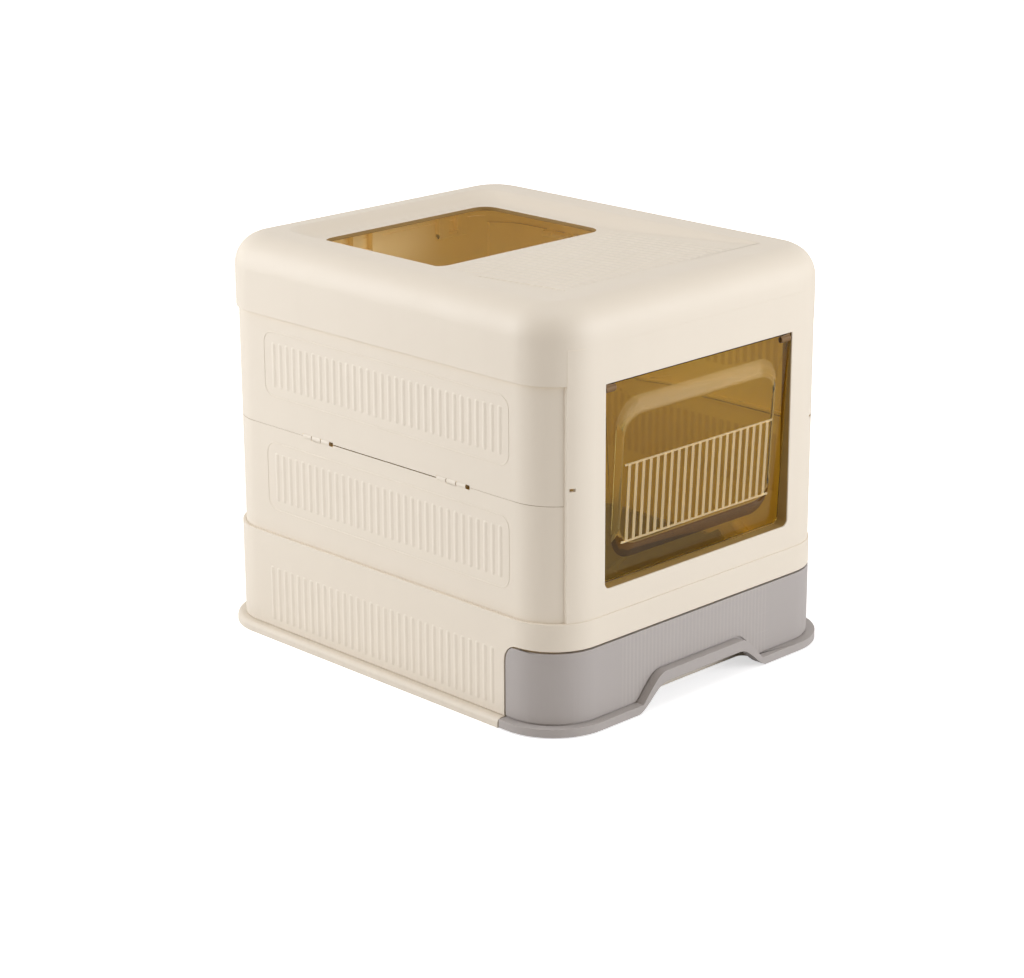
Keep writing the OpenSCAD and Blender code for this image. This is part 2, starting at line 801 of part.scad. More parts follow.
module hood() {
    color(cream) {
        difference() {
            union() {
                difference() {
                    hood_shell();
                    dish(0, 0);
                    // Front and rear edges, raised for the front and rear panels
                    block([-seam_x - seam / 2, -far, hood_z - over], [seam_x + seam / 2, far, front_seam_z]);
                }
                difference() {
                    intersection() {
                        dish(hood_wall, hood_wall);
                        translate([0, 0, mouth_z - hood_wall]) linear_extrude(dish_depth + hood_wall)
                            square([2 * (hood_x - round_r), 2 * (hood_y - round_r)], center = true);
                    }
                    dish(0, 0);
                }
                // Lip that stiffens the edge of the opening
                translate([0, 0, mouth_z - 2 * hood_wall]) linear_extrude(2 * hood_wall) mouth(hood_wall);
            }
            linear_extrude(far) mouth(0);
        }
        for (s = [0, 1]) mirror([0, s, 0]) cross_brackets();
        for (s = [0, 1]) mirror([s, 0, 0])
            difference() {
                side_brackets(hood_x - hood_wall, hood_axis_z);
                side_bracket_bores(hood_axis_z);
            }
    }
}

// ---------------------------------------------------------------- tread

// Ridged tread that lies on the slope in front of the opening
module roof_tread() {
    pitch = (tread_w - 2 * ridge_margin) / tread_ridges;
    color(cream)
        translate([0, dish_front_y, mouth_z]) rotate([-tread_angle, 0, 0])
            translate([0, -tread_l - tread_edge, tread_lift]) {
                translate([-tread_w / 2, 0, 0]) cube([tread_w, tread_l, tread_t]);
                for (i = [0 : tread_ridges - 1])
                    translate([(i - (tread_ridges - 1) / 2) * pitch - ridge_w / 2, ridge_end, tread_t / 2])
                        cube([ridge_w, tread_l - 2 * ridge_end, tread_t / 2 + ridge_h]);
            }
}

// ---------------------------------------------------------------- flap

// Rounded rectangle in the (x, z) plane between the bulge's edges, inset by side and end
module bulge_outline(side, end) {
    translate([0, (bulge_low_z + bulge_high_z) / 2])
        round_rect(bulge_w - 2 * side, bulge_high_z - bulge_low_z - 2 * end, bulge_r - (side + end) / 4);
}

// Solid bulge whose foot lies at y0 and whose face stands out by h
module bulge(y0, h, g) {
    hull() {
        slab_y(y0 - skin, skin) bulge_outline(g, g, $fn = 32);
        slab_y(y0 - h, skin) bulge_outline(g + bulge_side, g + bulge_end, $fn = 32);
    }
}

module front_flap() {
    face_y = flap_axis_y - flap_t / 2;
    bulge_y = face_y - bulge_h;
    rib_low_z = bulge_low_z + flap_rib_foot;
    rib_top_z = bulge_high_z - flap_rib_head;
    pitch = (rib_field_w - 2 * rib_field_end) / (flap_ribs - 1);
    color(amber) translate([0, flap_axis_y, flap_axis_z]) rotate([flap_lean, 0, 0])
        translate([0, -flap_axis_y, -flap_axis_z]) {
        difference() {
            union() {
                slab_y(face_y, flap_t)
                    difference() {
                        window(-flap_gap);
                        bulge_outline(flap_t, flap_t);
                    }
                bulge(face_y + skin, bulge_h + skin, 0);
                for (s = [-1, 1])
                    rod_x(s * (flap_w - flap_pin_l) / 2 - flap_pin_l / 2, flap_axis_y, flap_axis_z,
                          flap_boss_r, flap_pin_l);
            }
            bulge(face_y + flap_t + skin, bulge_h + skin, flap_t);
            for (s = [-1, 1])
                rod_x(s * (flap_w / 2 - flap_pin_l / 4 + eps) - flap_pin_l / 4 - eps, flap_axis_y, flap_axis_z,
                      pin_r, flap_pin_l / 2 + 2 * eps);
        }
        // Ribs of the bulge, between two beads that stand out a little further
        for (z = [rib_low_z, rib_top_z])
            block([-rib_field_w / 2, bulge_y - bead_h, z - bead_w / 2],
                  [rib_field_w / 2, bulge_y + flap_t / 2, z + bead_w / 2]);
        for (i = [0 : flap_ribs - 1])
            translate([(i - (flap_ribs - 1) / 2) * pitch - flap_rib_w / 2, bulge_y - flap_rib_h, rib_low_z])
                cube([flap_rib_w, flap_rib_h + flap_t / 2, rib_top_z - rib_low_z]);
    }
}

module flap_pins() {
    color(steel)
        for (s = [-1, 1])
            rod_x(s * flap_w / 2 - flap_pin_l / 2, flap_axis_y, flap_axis_z, pin_r, flap_pin_l);
}

// ---------------------------------------------------------------- hinge pins

module side_pins(x, ys, z) {
    color(steel)
        for (y = ys) rod_y(x, y - hinge_l / 2 + pin_inset, z, pin_r, hinge_l - 2 * pin_inset);
}

module cross_pins(y) {
    color(steel)
        for (x = cross_xs)
            rod_x(x - hinge_l / 2 + pin_inset, y, cross_axis_z, pin_r, hinge_l - 2 * pin_inset);
}

module left_lower_panel() { color(cream) lower_panel(); }
module left_upper_panel() { color(cream) upper_panel(); }
module right_lower_panel() { color(cream) mirror([1, 0, 0]) lower_panel(); }
module right_upper_panel() { color(cream) mirror([1, 0, 0]) upper_panel(); }
module left_base_pins() { side_pins(-edge_axis_x, edge_ys, base_axis_z); }
module right_base_pins() { side_pins(edge_axis_x, edge_ys, base_axis_z); }
module left_fold_pins() { side_pins(-fold_axis_x, fold_ys, fold_z); }
module right_fold_pins() { side_pins(fold_axis_x, fold_ys, fold_z); }
module left_hood_pins() { side_pins(-edge_axis_x, edge_ys, hood_axis_z); }
module right_hood_pins() { side_pins(edge_axis_x, edge_ys, hood_axis_z); }
module front_panel_pins() { cross_pins(-cross_axis_y); }
module rear_panel_pins() { cross_pins(cross_axis_y); }

base();
litter_drawer();
left_lower_panel();
left_upper_panel();
right_lower_panel();
right_upper_panel();
front_panel();
rear_panel();
hood();
roof_tread();
front_flap();
flap_pins();
left_base_pins();
right_base_pins();
left_fold_pins();
right_fold_pins();
left_hood_pins();
right_hood_pins();
front_panel_pins();
rear_panel_pins();
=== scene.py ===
import math

import bmesh
import bpy
from mathutils import Matrix, Vector


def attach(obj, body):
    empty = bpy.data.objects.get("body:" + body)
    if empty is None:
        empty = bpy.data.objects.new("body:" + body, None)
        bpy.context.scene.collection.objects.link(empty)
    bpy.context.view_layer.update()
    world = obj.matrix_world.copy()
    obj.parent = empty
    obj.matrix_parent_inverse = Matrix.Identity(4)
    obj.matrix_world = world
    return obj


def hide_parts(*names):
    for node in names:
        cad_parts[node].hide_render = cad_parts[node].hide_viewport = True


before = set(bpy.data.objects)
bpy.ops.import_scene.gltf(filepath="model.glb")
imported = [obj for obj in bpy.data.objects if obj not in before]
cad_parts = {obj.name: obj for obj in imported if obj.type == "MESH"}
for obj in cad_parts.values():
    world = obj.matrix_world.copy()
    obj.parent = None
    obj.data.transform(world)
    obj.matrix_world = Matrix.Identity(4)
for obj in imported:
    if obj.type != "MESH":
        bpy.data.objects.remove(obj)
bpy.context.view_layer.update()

# ---------------------------------------------------------------- base tub
# The tub is one cream polypropylene moulding: four low walls on a floor, a foot
# bead round the bottom and a rim that the folding walls stand in. Its front is cut
# open for the drawer, and it carries the outer barrels of the lower side hinges.


def only(piece):
    bpy.ops.object.select_all(action="DESELECT")
    piece.select_set(True)
    bpy.context.view_layer.objects.active = piece


def pick(piece, kind, test):
    """Opens a piece for editing and selects only the points, edges or faces that pass the
    test, which gets the middle and the direction of each."""
    only(piece)
    bpy.ops.object.mode_set(mode="EDIT")
    bpy.ops.mesh.select_mode(type=kind)
    bpy.ops.mesh.select_all(action="DESELECT")
    mesh = bmesh.from_edit_mesh(piece.data)
    mesh.normal_update()
    if kind == "VERT":
        found = [v for v in mesh.verts if test(v.co, v.normal)]
    elif kind == "EDGE":
        ends = [(e, e.verts[0].co, e.verts[1].co) for e in mesh.edges]
        found = [e for e, a, b in ends if test((a + b) / 2, (b - a).normalized())]
    else:
        found = [f for f in mesh.faces if test(f.calc_center_median(), f.normal)]
    for item in found:
        item.select_set(True)
    mesh.select_flush_mode()
    bmesh.update_edit_mesh(piece.data)


def close():
    bpy.ops.object.mode_set(mode="OBJECT")


def modify(piece, kind, **settings):
    only(piece)
    modifier = piece.modifiers.new(kind.lower(), kind)
    for name, value in settings.items():
        setattr(modifier, name, value)
    bpy.ops.object.modifier_apply(modifier=modifier.name)


def cube(name, corner, opposite):
    """A block between two opposite corners."""
    bpy.ops.object.select_all(action="DESELECT")
    spans = [abs(b - a) for a, b in zip(corner, opposite)]
    middle = (Vector(corner) + Vector(opposite)) / 2
    bpy.ops.mesh.primitive_cube_add(size=1, location=middle, scale=spans)
    piece = bpy.context.object
    piece.name = name
    bpy.ops.object.transform_apply(location=True, rotation=True, scale=True)
    return piece


def round_edges(piece, axis, radius, steps, test=lambda mid: True):
    """Rounds the edges of a block that run along one axis."""
    pick(piece, "EDGE", lambda mid, way: abs(way[axis]) > 0.99 and test(mid))
    bpy.ops.mesh.bevel(offset=radius, segments=steps, affect="EDGES")
    close()
    return piece


def plan_block(name, inset, low, high, steps=14):
    """A block with round upright corners, on the tub's outline moved in all round."""
    x, y = tub_x - inset, tub_y - inset
    return round_edges(cube(name, (-x, -y, low), (x, y, high)), 2, tub_r - inset, steps)


def trim(piece, point, away, solid=True):
    """Cuts off what lies beyond a plane, on the side that away points to; a solid gets a
    new end face."""
    pick(piece, "FACE", lambda mid, way: True)
    bpy.ops.mesh.bisect(plane_co=point, plane_no=away, clear_outer=True, use_fill=solid)
    close()
    return piece


def score(piece, point, way):
    """Parts the faces along a plane and cuts nothing off."""
    pick(piece, "FACE", lambda mid, way: True)
    bpy.ops.mesh.bisect(plane_co=point, plane_no=way)
    close()
    return piece


def open_ends(piece, ends="both"):
    """Takes the top, the bottom or both off a block."""
    wanted = {"both": (1, -1), "top": (1,), "bottom": (-1,)}[ends]
    pick(piece, "FACE", lambda mid, way: abs(way.z) > 0.99 and round(way.z) in wanted)
    bpy.ops.mesh.delete(type="FACE")
    close()
    return piece


def thicken(piece, wall):
    modify(piece, "SOLIDIFY", thickness=wall, offset=-1, use_even_offset=True)
    return piece


def ring(name, inset, low, high, wall, cuts=()):
    """A wall of even thickness that follows the plan of the box, trimmed by planes."""
    piece = thicken(open_ends(plan_block(name, inset, low, high)), wall)
    for point, away in cuts:
        trim(piece, point, away)
    return piece


def join(piece, *others):
    bpy.ops.object.select_all(action="DESELECT")
    for other in others:
        other.select_set(True)
    piece.select_set(True)
    bpy.context.view_layer.objects.active = piece
    bpy.ops.object.join()
    return piece


def combine(piece, others, operation):
    for other in others:
        modify(piece, "BOOLEAN", operation=operation, solver="EXACT", object=other)
        bpy.data.objects.remove(other)
    return piece


def fuse(piece, *others):
    return combine(piece, others, "UNION")


def cut(piece, *others):
    return combine(piece, others, "DIFFERENCE")


def soften(piece, width, steps=2, angle=35):
    """Rounds every sharp edge a little, as a mould does."""
    modify(
        piece, "BEVEL", width=width, segments=steps,
        limit_method="ANGLE", angle_limit=math.radians(angle),
        use_clamp_overlap=False, miter_outer="MITER_ARC",
    )
    return piece


def smooth(piece):
    """Shades a piece smooth but for its edges over 38 degrees."""
    only(piece)
    bpy.ops.object.shade_smooth_by_angle(angle=math.radians(38), keep_sharp_edges=False)
    modify(piece, "WEIGHTED_NORMAL", keep_sharp=True, weight=60)
    return piece


def rod(name, radius, start, end, sides=28):
    """A cylinder between two points."""
    start, end = Vector(start), Vector(end)
    turn = (end - start).to_track_quat("Z", "Y").to_euler()
    bpy.ops.object.select_all(action="DESELECT")
    bpy.ops.mesh.primitive_cylinder_add(
        vertices=sides, radius=radius, depth=(end - start).length,
        location=(start + end) / 2, rotation=turn,
    )
    piece = bpy.context.object
    piece.name = name
    bpy.ops.object.transform_apply(location=True, rotation=True, scale=True)
    return piece


def copies(piece, places):
    """Copies of a piece, each with its own mesh, moved and turned about Z. The pattern
    piece is used up."""
    made = []
    for place, turn in places:
        other = piece.copy()
        other.data = piece.data.copy()
        bpy.context.scene.collection.objects.link(other)
        spin = Matrix.Rotation(math.radians(turn), 4, "Z")
        other.matrix_world = Matrix.Translation(place) @ spin
        made.append(other)
    bpy.data.objects.remove(piece)
    return made


def knuckle(reach, length):
    """One hinge barrel with its bore, along Y, on a web that reaches to the wall at -X."""
    half = length / 2
    barrel = rod("knuckle", barrel_r, (0, -half, 0), (0, half, 0))
    fuse(barrel, cube("web", (-reach, -half, -barrel_r), (0, half, barrel_r)))
    cut(barrel, rod("bore", bore_r, (0, -length, 0), (0, length, 0), bore_sides))
    return soften(barrel, 0.0002, 1)


def edge_knuckles(reach, z):
    """The tub's or the hood's eight barrels of the hinges that the side walls turn on."""
    places = []
    for side in (-1, 1):
        for y in edge_hinge_ys:
            for e in (-barrel_l, barrel_l):
                places.append(((side * -edge_hinge_x, y + e, z), 0 if side > 0 else 180))
    return copies(knuckle(reach, barrel_l), places)


def rib(height):
    """One upright rib facing +X, with a wave-shaped back that runs out into the wall."""
    half, rise = 0.0033, 0.0008
    bpy.ops.object.select_all(action="DESELECT")
    bpy.ops.mesh.primitive_uv_sphere_add(segments=20, ring_count=7, radius=half)
    piece = bpy.context.object
    piece.name = "rib"
    pick(piece, "FACE", lambda mid, way: mid.x < 0)
    bpy.ops.mesh.delete(type="FACE")
    close()
    for side in (-1, 1):
        # The ball's halves are drawn apart, which leaves a straight middle
        pick(piece, "VERT", lambda p, n: p.z * side > 0.0001)
        bpy.ops.transform.translate(value=(0, 0, side * (height / 2 - half)))
        close()
    pick(piece, "FACE", lambda mid, way: True)
    mesh = bmesh.from_edit_mesh(piece.data)
    for v in mesh.verts:
        from_crown = math.sqrt(max(0, 1 - (v.co.x / half) ** 2))
        v.co.x = rise * (1 + math.cos(math.pi * from_crown)) / 2 - 0.00005
    bmesh.update_edit_mesh(piece.data)
    close()
    return piece


def rib_row(face_x, middle_y, low, high):
    """A row of 33 ribs on one side of the box."""
    ys = [middle_y + (i - 16) * rib_pitch for i in range(33)]
    turn = 0 if face_x > 0 else 180
    return copies(rib(high - low), [((face_x, y, (low + high) / 2), turn) for y in ys])


def depth(p):
    """How far a point lies in from the tub's outer face, seen from above."""
    return tub_r - math.hypot(max(abs(p.x) - corner_x, 0), max(abs(p.y) - corner_y, 0))


def foot_bead(name, low, cuts=()):
    """The bead round the foot, 8 mm proud of the tub's walls."""
    return ring(name, -0.008, low, foot_h, 0.0093, cuts)


def crease(wall, gap):
    """Sinks the wall behind the bead and for a gap above it, which draws a dark line."""
    return cut(wall, ring("recess", -0.003, -0.010, foot_h + gap, 0.0043))


def round_top(bead):
    """Draws the bead's outer top edge over a radius."""
    top = foot_h - 0.0001
    pick(bead, "EDGE", lambda mid, way: abs(way.z) < 0.9 and mid.z > top and depth(mid) < -0.0065)
    bpy.ops.mesh.bevel(offset=0.0045, segments=5, affect="EDGES", clamp_overlap=True)
    close()
    return bead


def front_part(end):
    """The planes that leave a ring's front, out to both ends."""
    return [((end, 0, 0), (1, 0, 0)), ((-end, 0, 0), (-1, 0, 0)), ((0, 0, 0), (0, 1, 0))]


# The tub's plan: half its width and depth, its corner radius and where the corners start
tub_x, tub_y, tub_r = 0.177, 0.2145, 0.048
corner_x, corner_y = 0.129, 0.1665
tub_h, foot_h = 0.098, 0.0085
# The ribs' spacing, and the middle of their rows on the side walls
rib_pitch, wall_row_y = 0.0089, -0.0065
# The hinges: their barrels, the pins' bores, and the places of those at the side walls' edges
barrel_r, barrel_l = 0.0031, 0.012
bore_r, bore_sides = 0.00155, 20
edge_hinge_x, edge_hinge_ys = 0.1681, (-0.122, 0.122)
tub_hinge_z = 0.0785
# The tub's inner face is as pale as its outside above this height, without the painted warm glow
pale_rim_z = 0.086

drawer_way = cube("drawer_way", (-0.3, -0.4, -0.1), (0.3, -0.1555, 0.074))
round_edges(drawer_way, 0, 0.015, 8, lambda mid: mid.y > -0.2 and mid.z > 0)
base = thicken(open_ends(plan_block("base_tub", 0, 0, tub_h), "top"), 0.003)
fuse(crease(base, 0.0006), round_top(foot_bead("foot", 0)))
cut(base, drawer_way)
finger_way = cube("finger_way", (-0.0865, -0.3, -0.01), (0.0865, -0.1905, 0.01))
round_edges(finger_way, 2, 0.008, 5)
fuse(base, cut(plan_block("floor", 0.0036, 0, 0.003), finger_way))
rail = ring("rail", 0.0013, 0.074, 0.0766, 0.007, front_part(0.1539))
guides = []
for side in (-1, 1):
    x = side * 0.167
    guides.append(cube("guide", (x - 0.001, -0.1365, 0.002), (x + 0.001, 0.1779, 0.0116)))
fuse(base, rail, *guides)
soften(base, 0.0003)
score(base, (0, 0, pale_rim_z), (0, 0, 1))
ribs = [rib_row(side * tub_x, 0.001, 0.015, 0.068) for side in (-1, 1)]
join(base, *edge_knuckles(0.0067, tub_hinge_z), *ribs[0], *ribs[1])
smooth(base)


def new_group(name, inputs, outputs):
    """A shader group, with its inner ends."""
    tree = bpy.data.node_groups.new(name, "ShaderNodeTree")
    add = tree.interface.new_socket
    for label, kind, value in inputs:
        add(name=label, in_out="INPUT", socket_type="NodeSocket" + kind).default_value = value
    for label, kind in outputs:
        add(name=label, in_out="OUTPUT", socket_type="NodeSocket" + kind)
    given = tree.nodes.new("NodeGroupInput").outputs
    return tree, given, tree.nodes.new("NodeGroupOutput").inputs


def node(tree, kind, links=None, **values):
    """Adds a shader node; values set its own fields or unlinked inputs, links feed its inputs."""
    made = tree.nodes.new("ShaderNode" + kind)
    for name, value in values.items():
        if hasattr(made, name):
            setattr(made, name, value)
        else:
            made.inputs[name.replace("_", " ")].default_value = value
    for name, source in (links or {}).items():
        tree.links.new(source, made.inputs[name])
    return made


def calc(tree, operation, *values, clamp=False):
    """A Math node whose inputs are sockets or plain numbers."""
    made = tree.nodes.new("ShaderNodeMath")
    made.operation, made.use_clamp = operation, clamp
    for i, value in enumerate(values):
        if isinstance(value, (int, float)):
            made.inputs[i].default_value = value
        else:
            tree.links.new(value, made.inputs[i])
    return made.outputs[0]


# Moulded plastic: a slow change of tone, faint upright flow lines, a spark-eroded grain
# and a slightly uneven sheen.
moulded, given, out = new_group(
    "moulded_plastic",
    [
        ("Colour", "Color", (0.8, 0.8, 0.8, 1)),
        ("Tone", "Float", 0.03),
        ("Sheen", "Float", 0.45),
        ("Grain", "Float", 1.0),
    ],
    [("Colour", "Color"), ("Roughness", "Float"), ("Height", "Float")],
)
place = node(moulded, "TexCoord").outputs["Object"]
slow = node(moulded, "TexNoise", {"Vector": place}, Scale=7, Detail=2).outputs["Fac"]
stretched = node(moulded, "Mapping", {"Vector": place}, Scale=(60, 60, 5)).outputs["Vector"]
flow = node(moulded, "TexNoise", {"Vector": stretched}, Scale=1, Detail=3).outputs["Fac"]
tone = calc(
    moulded, "ADD", calc(moulded, "MULTIPLY", slow, 1.4), calc(moulded, "MULTIPLY", flow, 0.6)
)
change = calc(moulded, "MULTIPLY", calc(moulded, "SUBTRACT", tone, 1.0), given["Tone"])
shade = calc(moulded, "ADD", change, 1.0)
tinted = node(moulded, "VectorMath", {0: given["Colour"], "Scale": shade}, operation="SCALE")
moulded.links.new(tinted.outputs["Vector"], out["Colour"])
patch = node(moulded, "TexNoise", {"Vector": place}, Scale=38, Detail=4).outputs["Fac"]
uneven = calc(moulded, "MULTIPLY", calc(moulded, "SUBTRACT", patch, 0.5), 0.16)
moulded.links.new(calc(moulded, "ADD", given["Sheen"], uneven), out["Roughness"])
fine = node(moulded, "TexNoise", {"Vector": place}, Scale=1500, Detail=2).outputs["Fac"]
pits = node(moulded, "TexVoronoi", {"Vector": place}, Scale=620, feature="SMOOTH_F1")
deep = calc(moulded, "MULTIPLY", pits.outputs["Distance"], 0.7)
rough = calc(moulded, "ADD", fine, deep)
moulded.links.new(calc(moulded, "MULTIPLY", rough, given["Grain"]), out["Height"])

# Handling marks: patches of level hair scratches, and a little dust low down.
handled, given, out = new_group(
    "handling_marks",
    [
        ("Colour", "Color", (0.8, 0.8, 0.8, 1)),
        ("Roughness", "Float", 0.45),
        ("Scratches", "Float", 0.4),
        ("Dust", "Float", 0.1),
    ],
    [("Colour", "Color"), ("Roughness", "Float")],
)
place = node(handled, "TexCoord").outputs["Object"]
turned = node(
    handled, "Mapping", {"Vector": place}, Rotation=(0.5, 0.35, 0.8), Scale=(26, 26, 900)
).outputs["Vector"]
hair = node(handled, "TexNoise", {"Vector": turned}, Scale=1, Detail=2).outputs["Fac"]
where = node(handled, "TexNoise", {"Vector": place}, Scale=11, Detail=2).outputs["Fac"]
line = node(handled, "MapRange", {"Value": hair}, From_Min=0.68, From_Max=0.74).outputs["Result"]
area = node(handled, "MapRange", {"Value": where}, From_Min=0.52, From_Max=0.66).outputs["Result"]
scratch = calc(handled, "MULTIPLY", calc(handled, "MULTIPLY", line, area), given["Scratches"])
height = node(handled, "SeparateXYZ", {0: place}).outputs["Z"]
low_down = node(
    handled, "MapRange", {"Value": height},
    From_Min=0.035, From_Max=0.0, interpolation_type="SMOOTHSTEP",
).outputs["Result"]
speck = node(handled, "TexNoise", {"Vector": place}, Scale=210, Detail=3).outputs["Fac"]
dust = calc(
    handled, "MULTIPLY", calc(handled, "MULTIPLY", low_down, speck), given["Dust"], clamp=True
)
dusty = node(handled, "Mix", {0: dust, 6: given["Colour"]}, data_type="RGBA")
dusty.inputs[7].default_value = (0.42, 0.38, 0.33, 1)
faint = calc(handled, "MULTIPLY", scratch, 0.25)
pale = node(handled, "Mix", {0: faint, 6: dusty.outputs[2]}, data_type="RGBA")
pale.inputs[7].default_value = (0.9, 0.88, 0.84, 1)
handled.links.new(pale.outputs[2], out["Colour"])
scuffed = calc(handled, "ADD", given["Roughness"], calc(handled, "MULTIPLY", scratch, 0.2))
dulled = calc(handled, "MULTIPLY", dust, 0.4)
handled.links.new(calc(handled, "ADD", scuffed, dulled), out["Roughness"])


def group_node(tree, group, links=None, **values):
    made = tree.nodes.new("ShaderNodeGroup")
    made.node_tree = group
    for name, value in values.items():
        made.inputs[name].default_value = value
    for name, source in (links or {}).items():
        tree.links.new(source, made.inputs[name])
    return made.outputs


def new_material(name):
    material = bpy.data.materials.new(name)
    material.use_nodes = True
    return material, material.node_tree, material.node_tree.nodes["Principled BSDF"]


def plastic(name, colour, tone=0.03, sheen=0.5, scratches=0.4, dust=0.25, extra=None):
    """A moulded opaque plastic; extra may add to its height and change its colour."""
    material, tree, shader = new_material(name)
    skin = group_node(tree, moulded, Colour=(*colour, 1), Tone=tone, Sheen=sheen, Grain=1.0)
    tint, rise = skin["Colour"], skin["Height"]
    if extra:
        tint, rise = extra(tree, tint, rise)
    worn = {"Colour": tint, "Roughness": skin["Roughness"]}
    used = group_node(tree, handled, worn, Scratches=scratches, Dust=dust)
    tree.links.new(used["Colour"], shader.inputs["Base Color"])
    tree.links.new(used["Roughness"], shader.inputs["Roughness"])
    bump = node(tree, "Bump", {"Height": rise}, Strength=0.35, Distance=0.00012)
    tree.links.new(bump.outputs["Normal"], shader.inputs["Normal"])
    shader.inputs["IOR"].default_value = 1.49
    return material


def grooves_and_painted_shade(tree, tint, rise):
    """The backs of the ribs show on the inside of the side walls as shallow grooves, bumped and
    darkened towards brown as painted shade.
    """
    place = node(tree, "SeparateXYZ", {0: node(tree, "TexCoord").outputs["Object"]}).outputs
    across = calc(tree, "PINGPONG", calc(tree, "ADD", place["Y"], -wall_row_y), rib_pitch / 2)
    groove = node(
        tree, "MapRange", {"Value": across},
        From_Min=0.0031, From_Max=0.0019, interpolation_type="SMOOTHSTEP",
    ).outputs["Result"]
    rows = []
    for low, high in ((0.129, 0.176), (0.236, 0.278)):
        rows.append(calc(tree, "COMPARE", place["Z"], (low + high) / 2, (high - low) / 2 + 0.004))
    on_wall = calc(tree, "GREATER_THAN", calc(tree, "ABSOLUTE", place["X"]), 0.166)
    along = calc(tree, "COMPARE", place["Y"], wall_row_y, 0.147)
    in_row = calc(tree, "MAXIMUM", *rows)
    shown = calc(tree, "MULTIPLY", calc(tree, "MULTIPLY", on_wall, along), in_row)
    sunk = calc(tree, "MULTIPLY", groove, shown)
    # Painted shade: the grooves are darkened towards brown
    groove_shade = node(tree, "Mix", {0: calc(tree, "MULTIPLY", sunk, 0.35), 6: tint}, data_type="RGBA")
    groove_shade.inputs[7].default_value = (0.46, 0.25, 0.07, 1)
    return groove_shade.outputs[2], calc(tree, "SUBTRACT", rise, calc(tree, "MULTIPLY", sunk, 6.0))


cream = plastic("cream_plastic", (0.80, 0.72, 0.60))
# Painted warm light: the inner faces are painted a deeper honey than the cream outside
inside_painted_glow = plastic(
    "cream_plastic_inside_painted_glow", (0.97, 0.79, 0.44),
    tone=0.05, scratches=0.2, dust=0, extra=grooves_and_painted_shade,
)
# Painted glow: a faint warm emission on the inner faces stands in for daylight that comes through
# the thin walls and warms them inside
through = inside_painted_glow.node_tree.nodes["Principled BSDF"].inputs
through["Emission Color"].default_value = (1, 0.72, 0.32, 1)
through["Emission Strength"].default_value = 0.065
# Painted shade: the cut faces round the window, the roof opening and the fold lie in shade, and are
# painted dark brown
painted_shade = plastic("cream_plastic_painted_shade", (0.36, 0.235, 0.085), scratches=0.1, dust=0)


def paint(piece, outer, inner=None, within=None):
    """Gives a piece its plastic, and the faces that pass the test another finish."""
    piece.data.materials.clear()
    piece.data.materials.append(outer)
    if inner:
        piece.data.materials.append(inner)
        for face in piece.data.polygons:
            face.material_index = int(within(face.center, face.normal))
    return piece


def inside_tub(p, way):
    """True on the inner faces, which get the painted warm glow, but not on the floor nor on what
    the open drawer lays bare.
    """
    bare = p.y < -0.19 or (p.y < -0.14 and way.y < -0.3)
    return depth(p) > 0.0013 and 0.0035 < p.z < pale_rim_z and not bare


paint(base, cream, inside_painted_glow, inside_tub)
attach(base, "housing")
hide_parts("base")

# ---------------------------------------------------------------- litter drawer
# The drawer is a warm grey moulding: a deep tray for the litter behind a front that
# wraps round both corners. Its foot bead climbs over a hand arch in the middle, and
# fine upright flutes run across the front.


def arch(name, top, foot, height, near, far):
    """A slab under the curve of the hand arch, flat on top with S-shaped flanks."""
    steps = 14
    stride = (foot - top) / 2 / steps
    half = 0.01
    bpy.ops.object.select_all(action="DESELECT")
    upright = (math.pi / 2, 0, 0)
    middle = (0, near, height - half)
    bpy.ops.mesh.primitive_plane_add(size=2 * half, location=middle, rotation=upright)
    piece = bpy.context.object
    piece.name = name
    bpy.ops.object.transform_apply(location=True, rotation=True, scale=True)
    for side in (-1, 1):
        # The plane's side edges go to the arch's top corners and down to the floor
        pick(piece, "VERT", lambda p, n: p.x * side > 0.005)
        mesh = bmesh.from_edit_mesh(piece.data)
        for v in mesh.verts:
            if v.select:
                v.co.x = side * top / 2
                v.co.z = height if v.co.z > height - half else -0.002
        bmesh.update_edit_mesh(piece.data)
        # Each further strip is extruded sideways and its upper corner lowered
        for i in range(1, steps + 1):
            z = height * (1 + math.cos(math.pi * i / steps)) / 2
            sideways = {"value": (side * stride, 0, 0)}
            bpy.ops.mesh.extrude_region_move(TRANSFORM_OT_translate=sideways)
            mesh = bmesh.from_edit_mesh(piece.data)
            for v in mesh.verts:
                if v.select and v.co.z > -0.001:
                    v.co.z = z
            bmesh.update_edit_mesh(piece.data)
        close()
    pick(piece, "FACE", lambda p, n: True)
    bpy.ops.mesh.extrude_region_move(TRANSFORM_OT_translate={"value": (0, far - near, 0)})
    bpy.ops.mesh.select_all(action="SELECT")
    bpy.ops.mesh.normals_make_consistent(inside=False)
    close()
    return piece


# The drawer clears the floor by a millimetre, and its front ends here on the sides
drawer_low = 0.001
behind = ((0, -0.1571, 0), (0, 1, 0))
drawer = open_ends(plan_block("drawer", 0, drawer_low, 0.0721))
trim(drawer, *behind, solid=False)
pick(drawer, "VERT", lambda p, n: p.y > -0.1575 and p.z > 0.07)
bpy.ops.mesh.bevel(offset=0.014, segments=7, affect="VERTICES")
close()
thicken(drawer, 0.0026)
bead = foot_bead("bead", drawer_low, [behind])
over = arch("over", 0.096, 0.186, 0.032, -0.2225, -0.2134)
fuse(bead, trim(over, (0, 0, 0.004), (0, 0, -1)))
round_top(bead)
soften(drawer, 0.0007, 3)
cut(crease(drawer, 0.0016), arch("recess", 0.0980, 0.1890, 0.0338, -0.2160, -0.2132))
for piece in (bead, drawer):
    cut(piece, arch("opening", 0.094, 0.173, 0.022, -0.24, -0.2))
soften(bead, 0.0003)
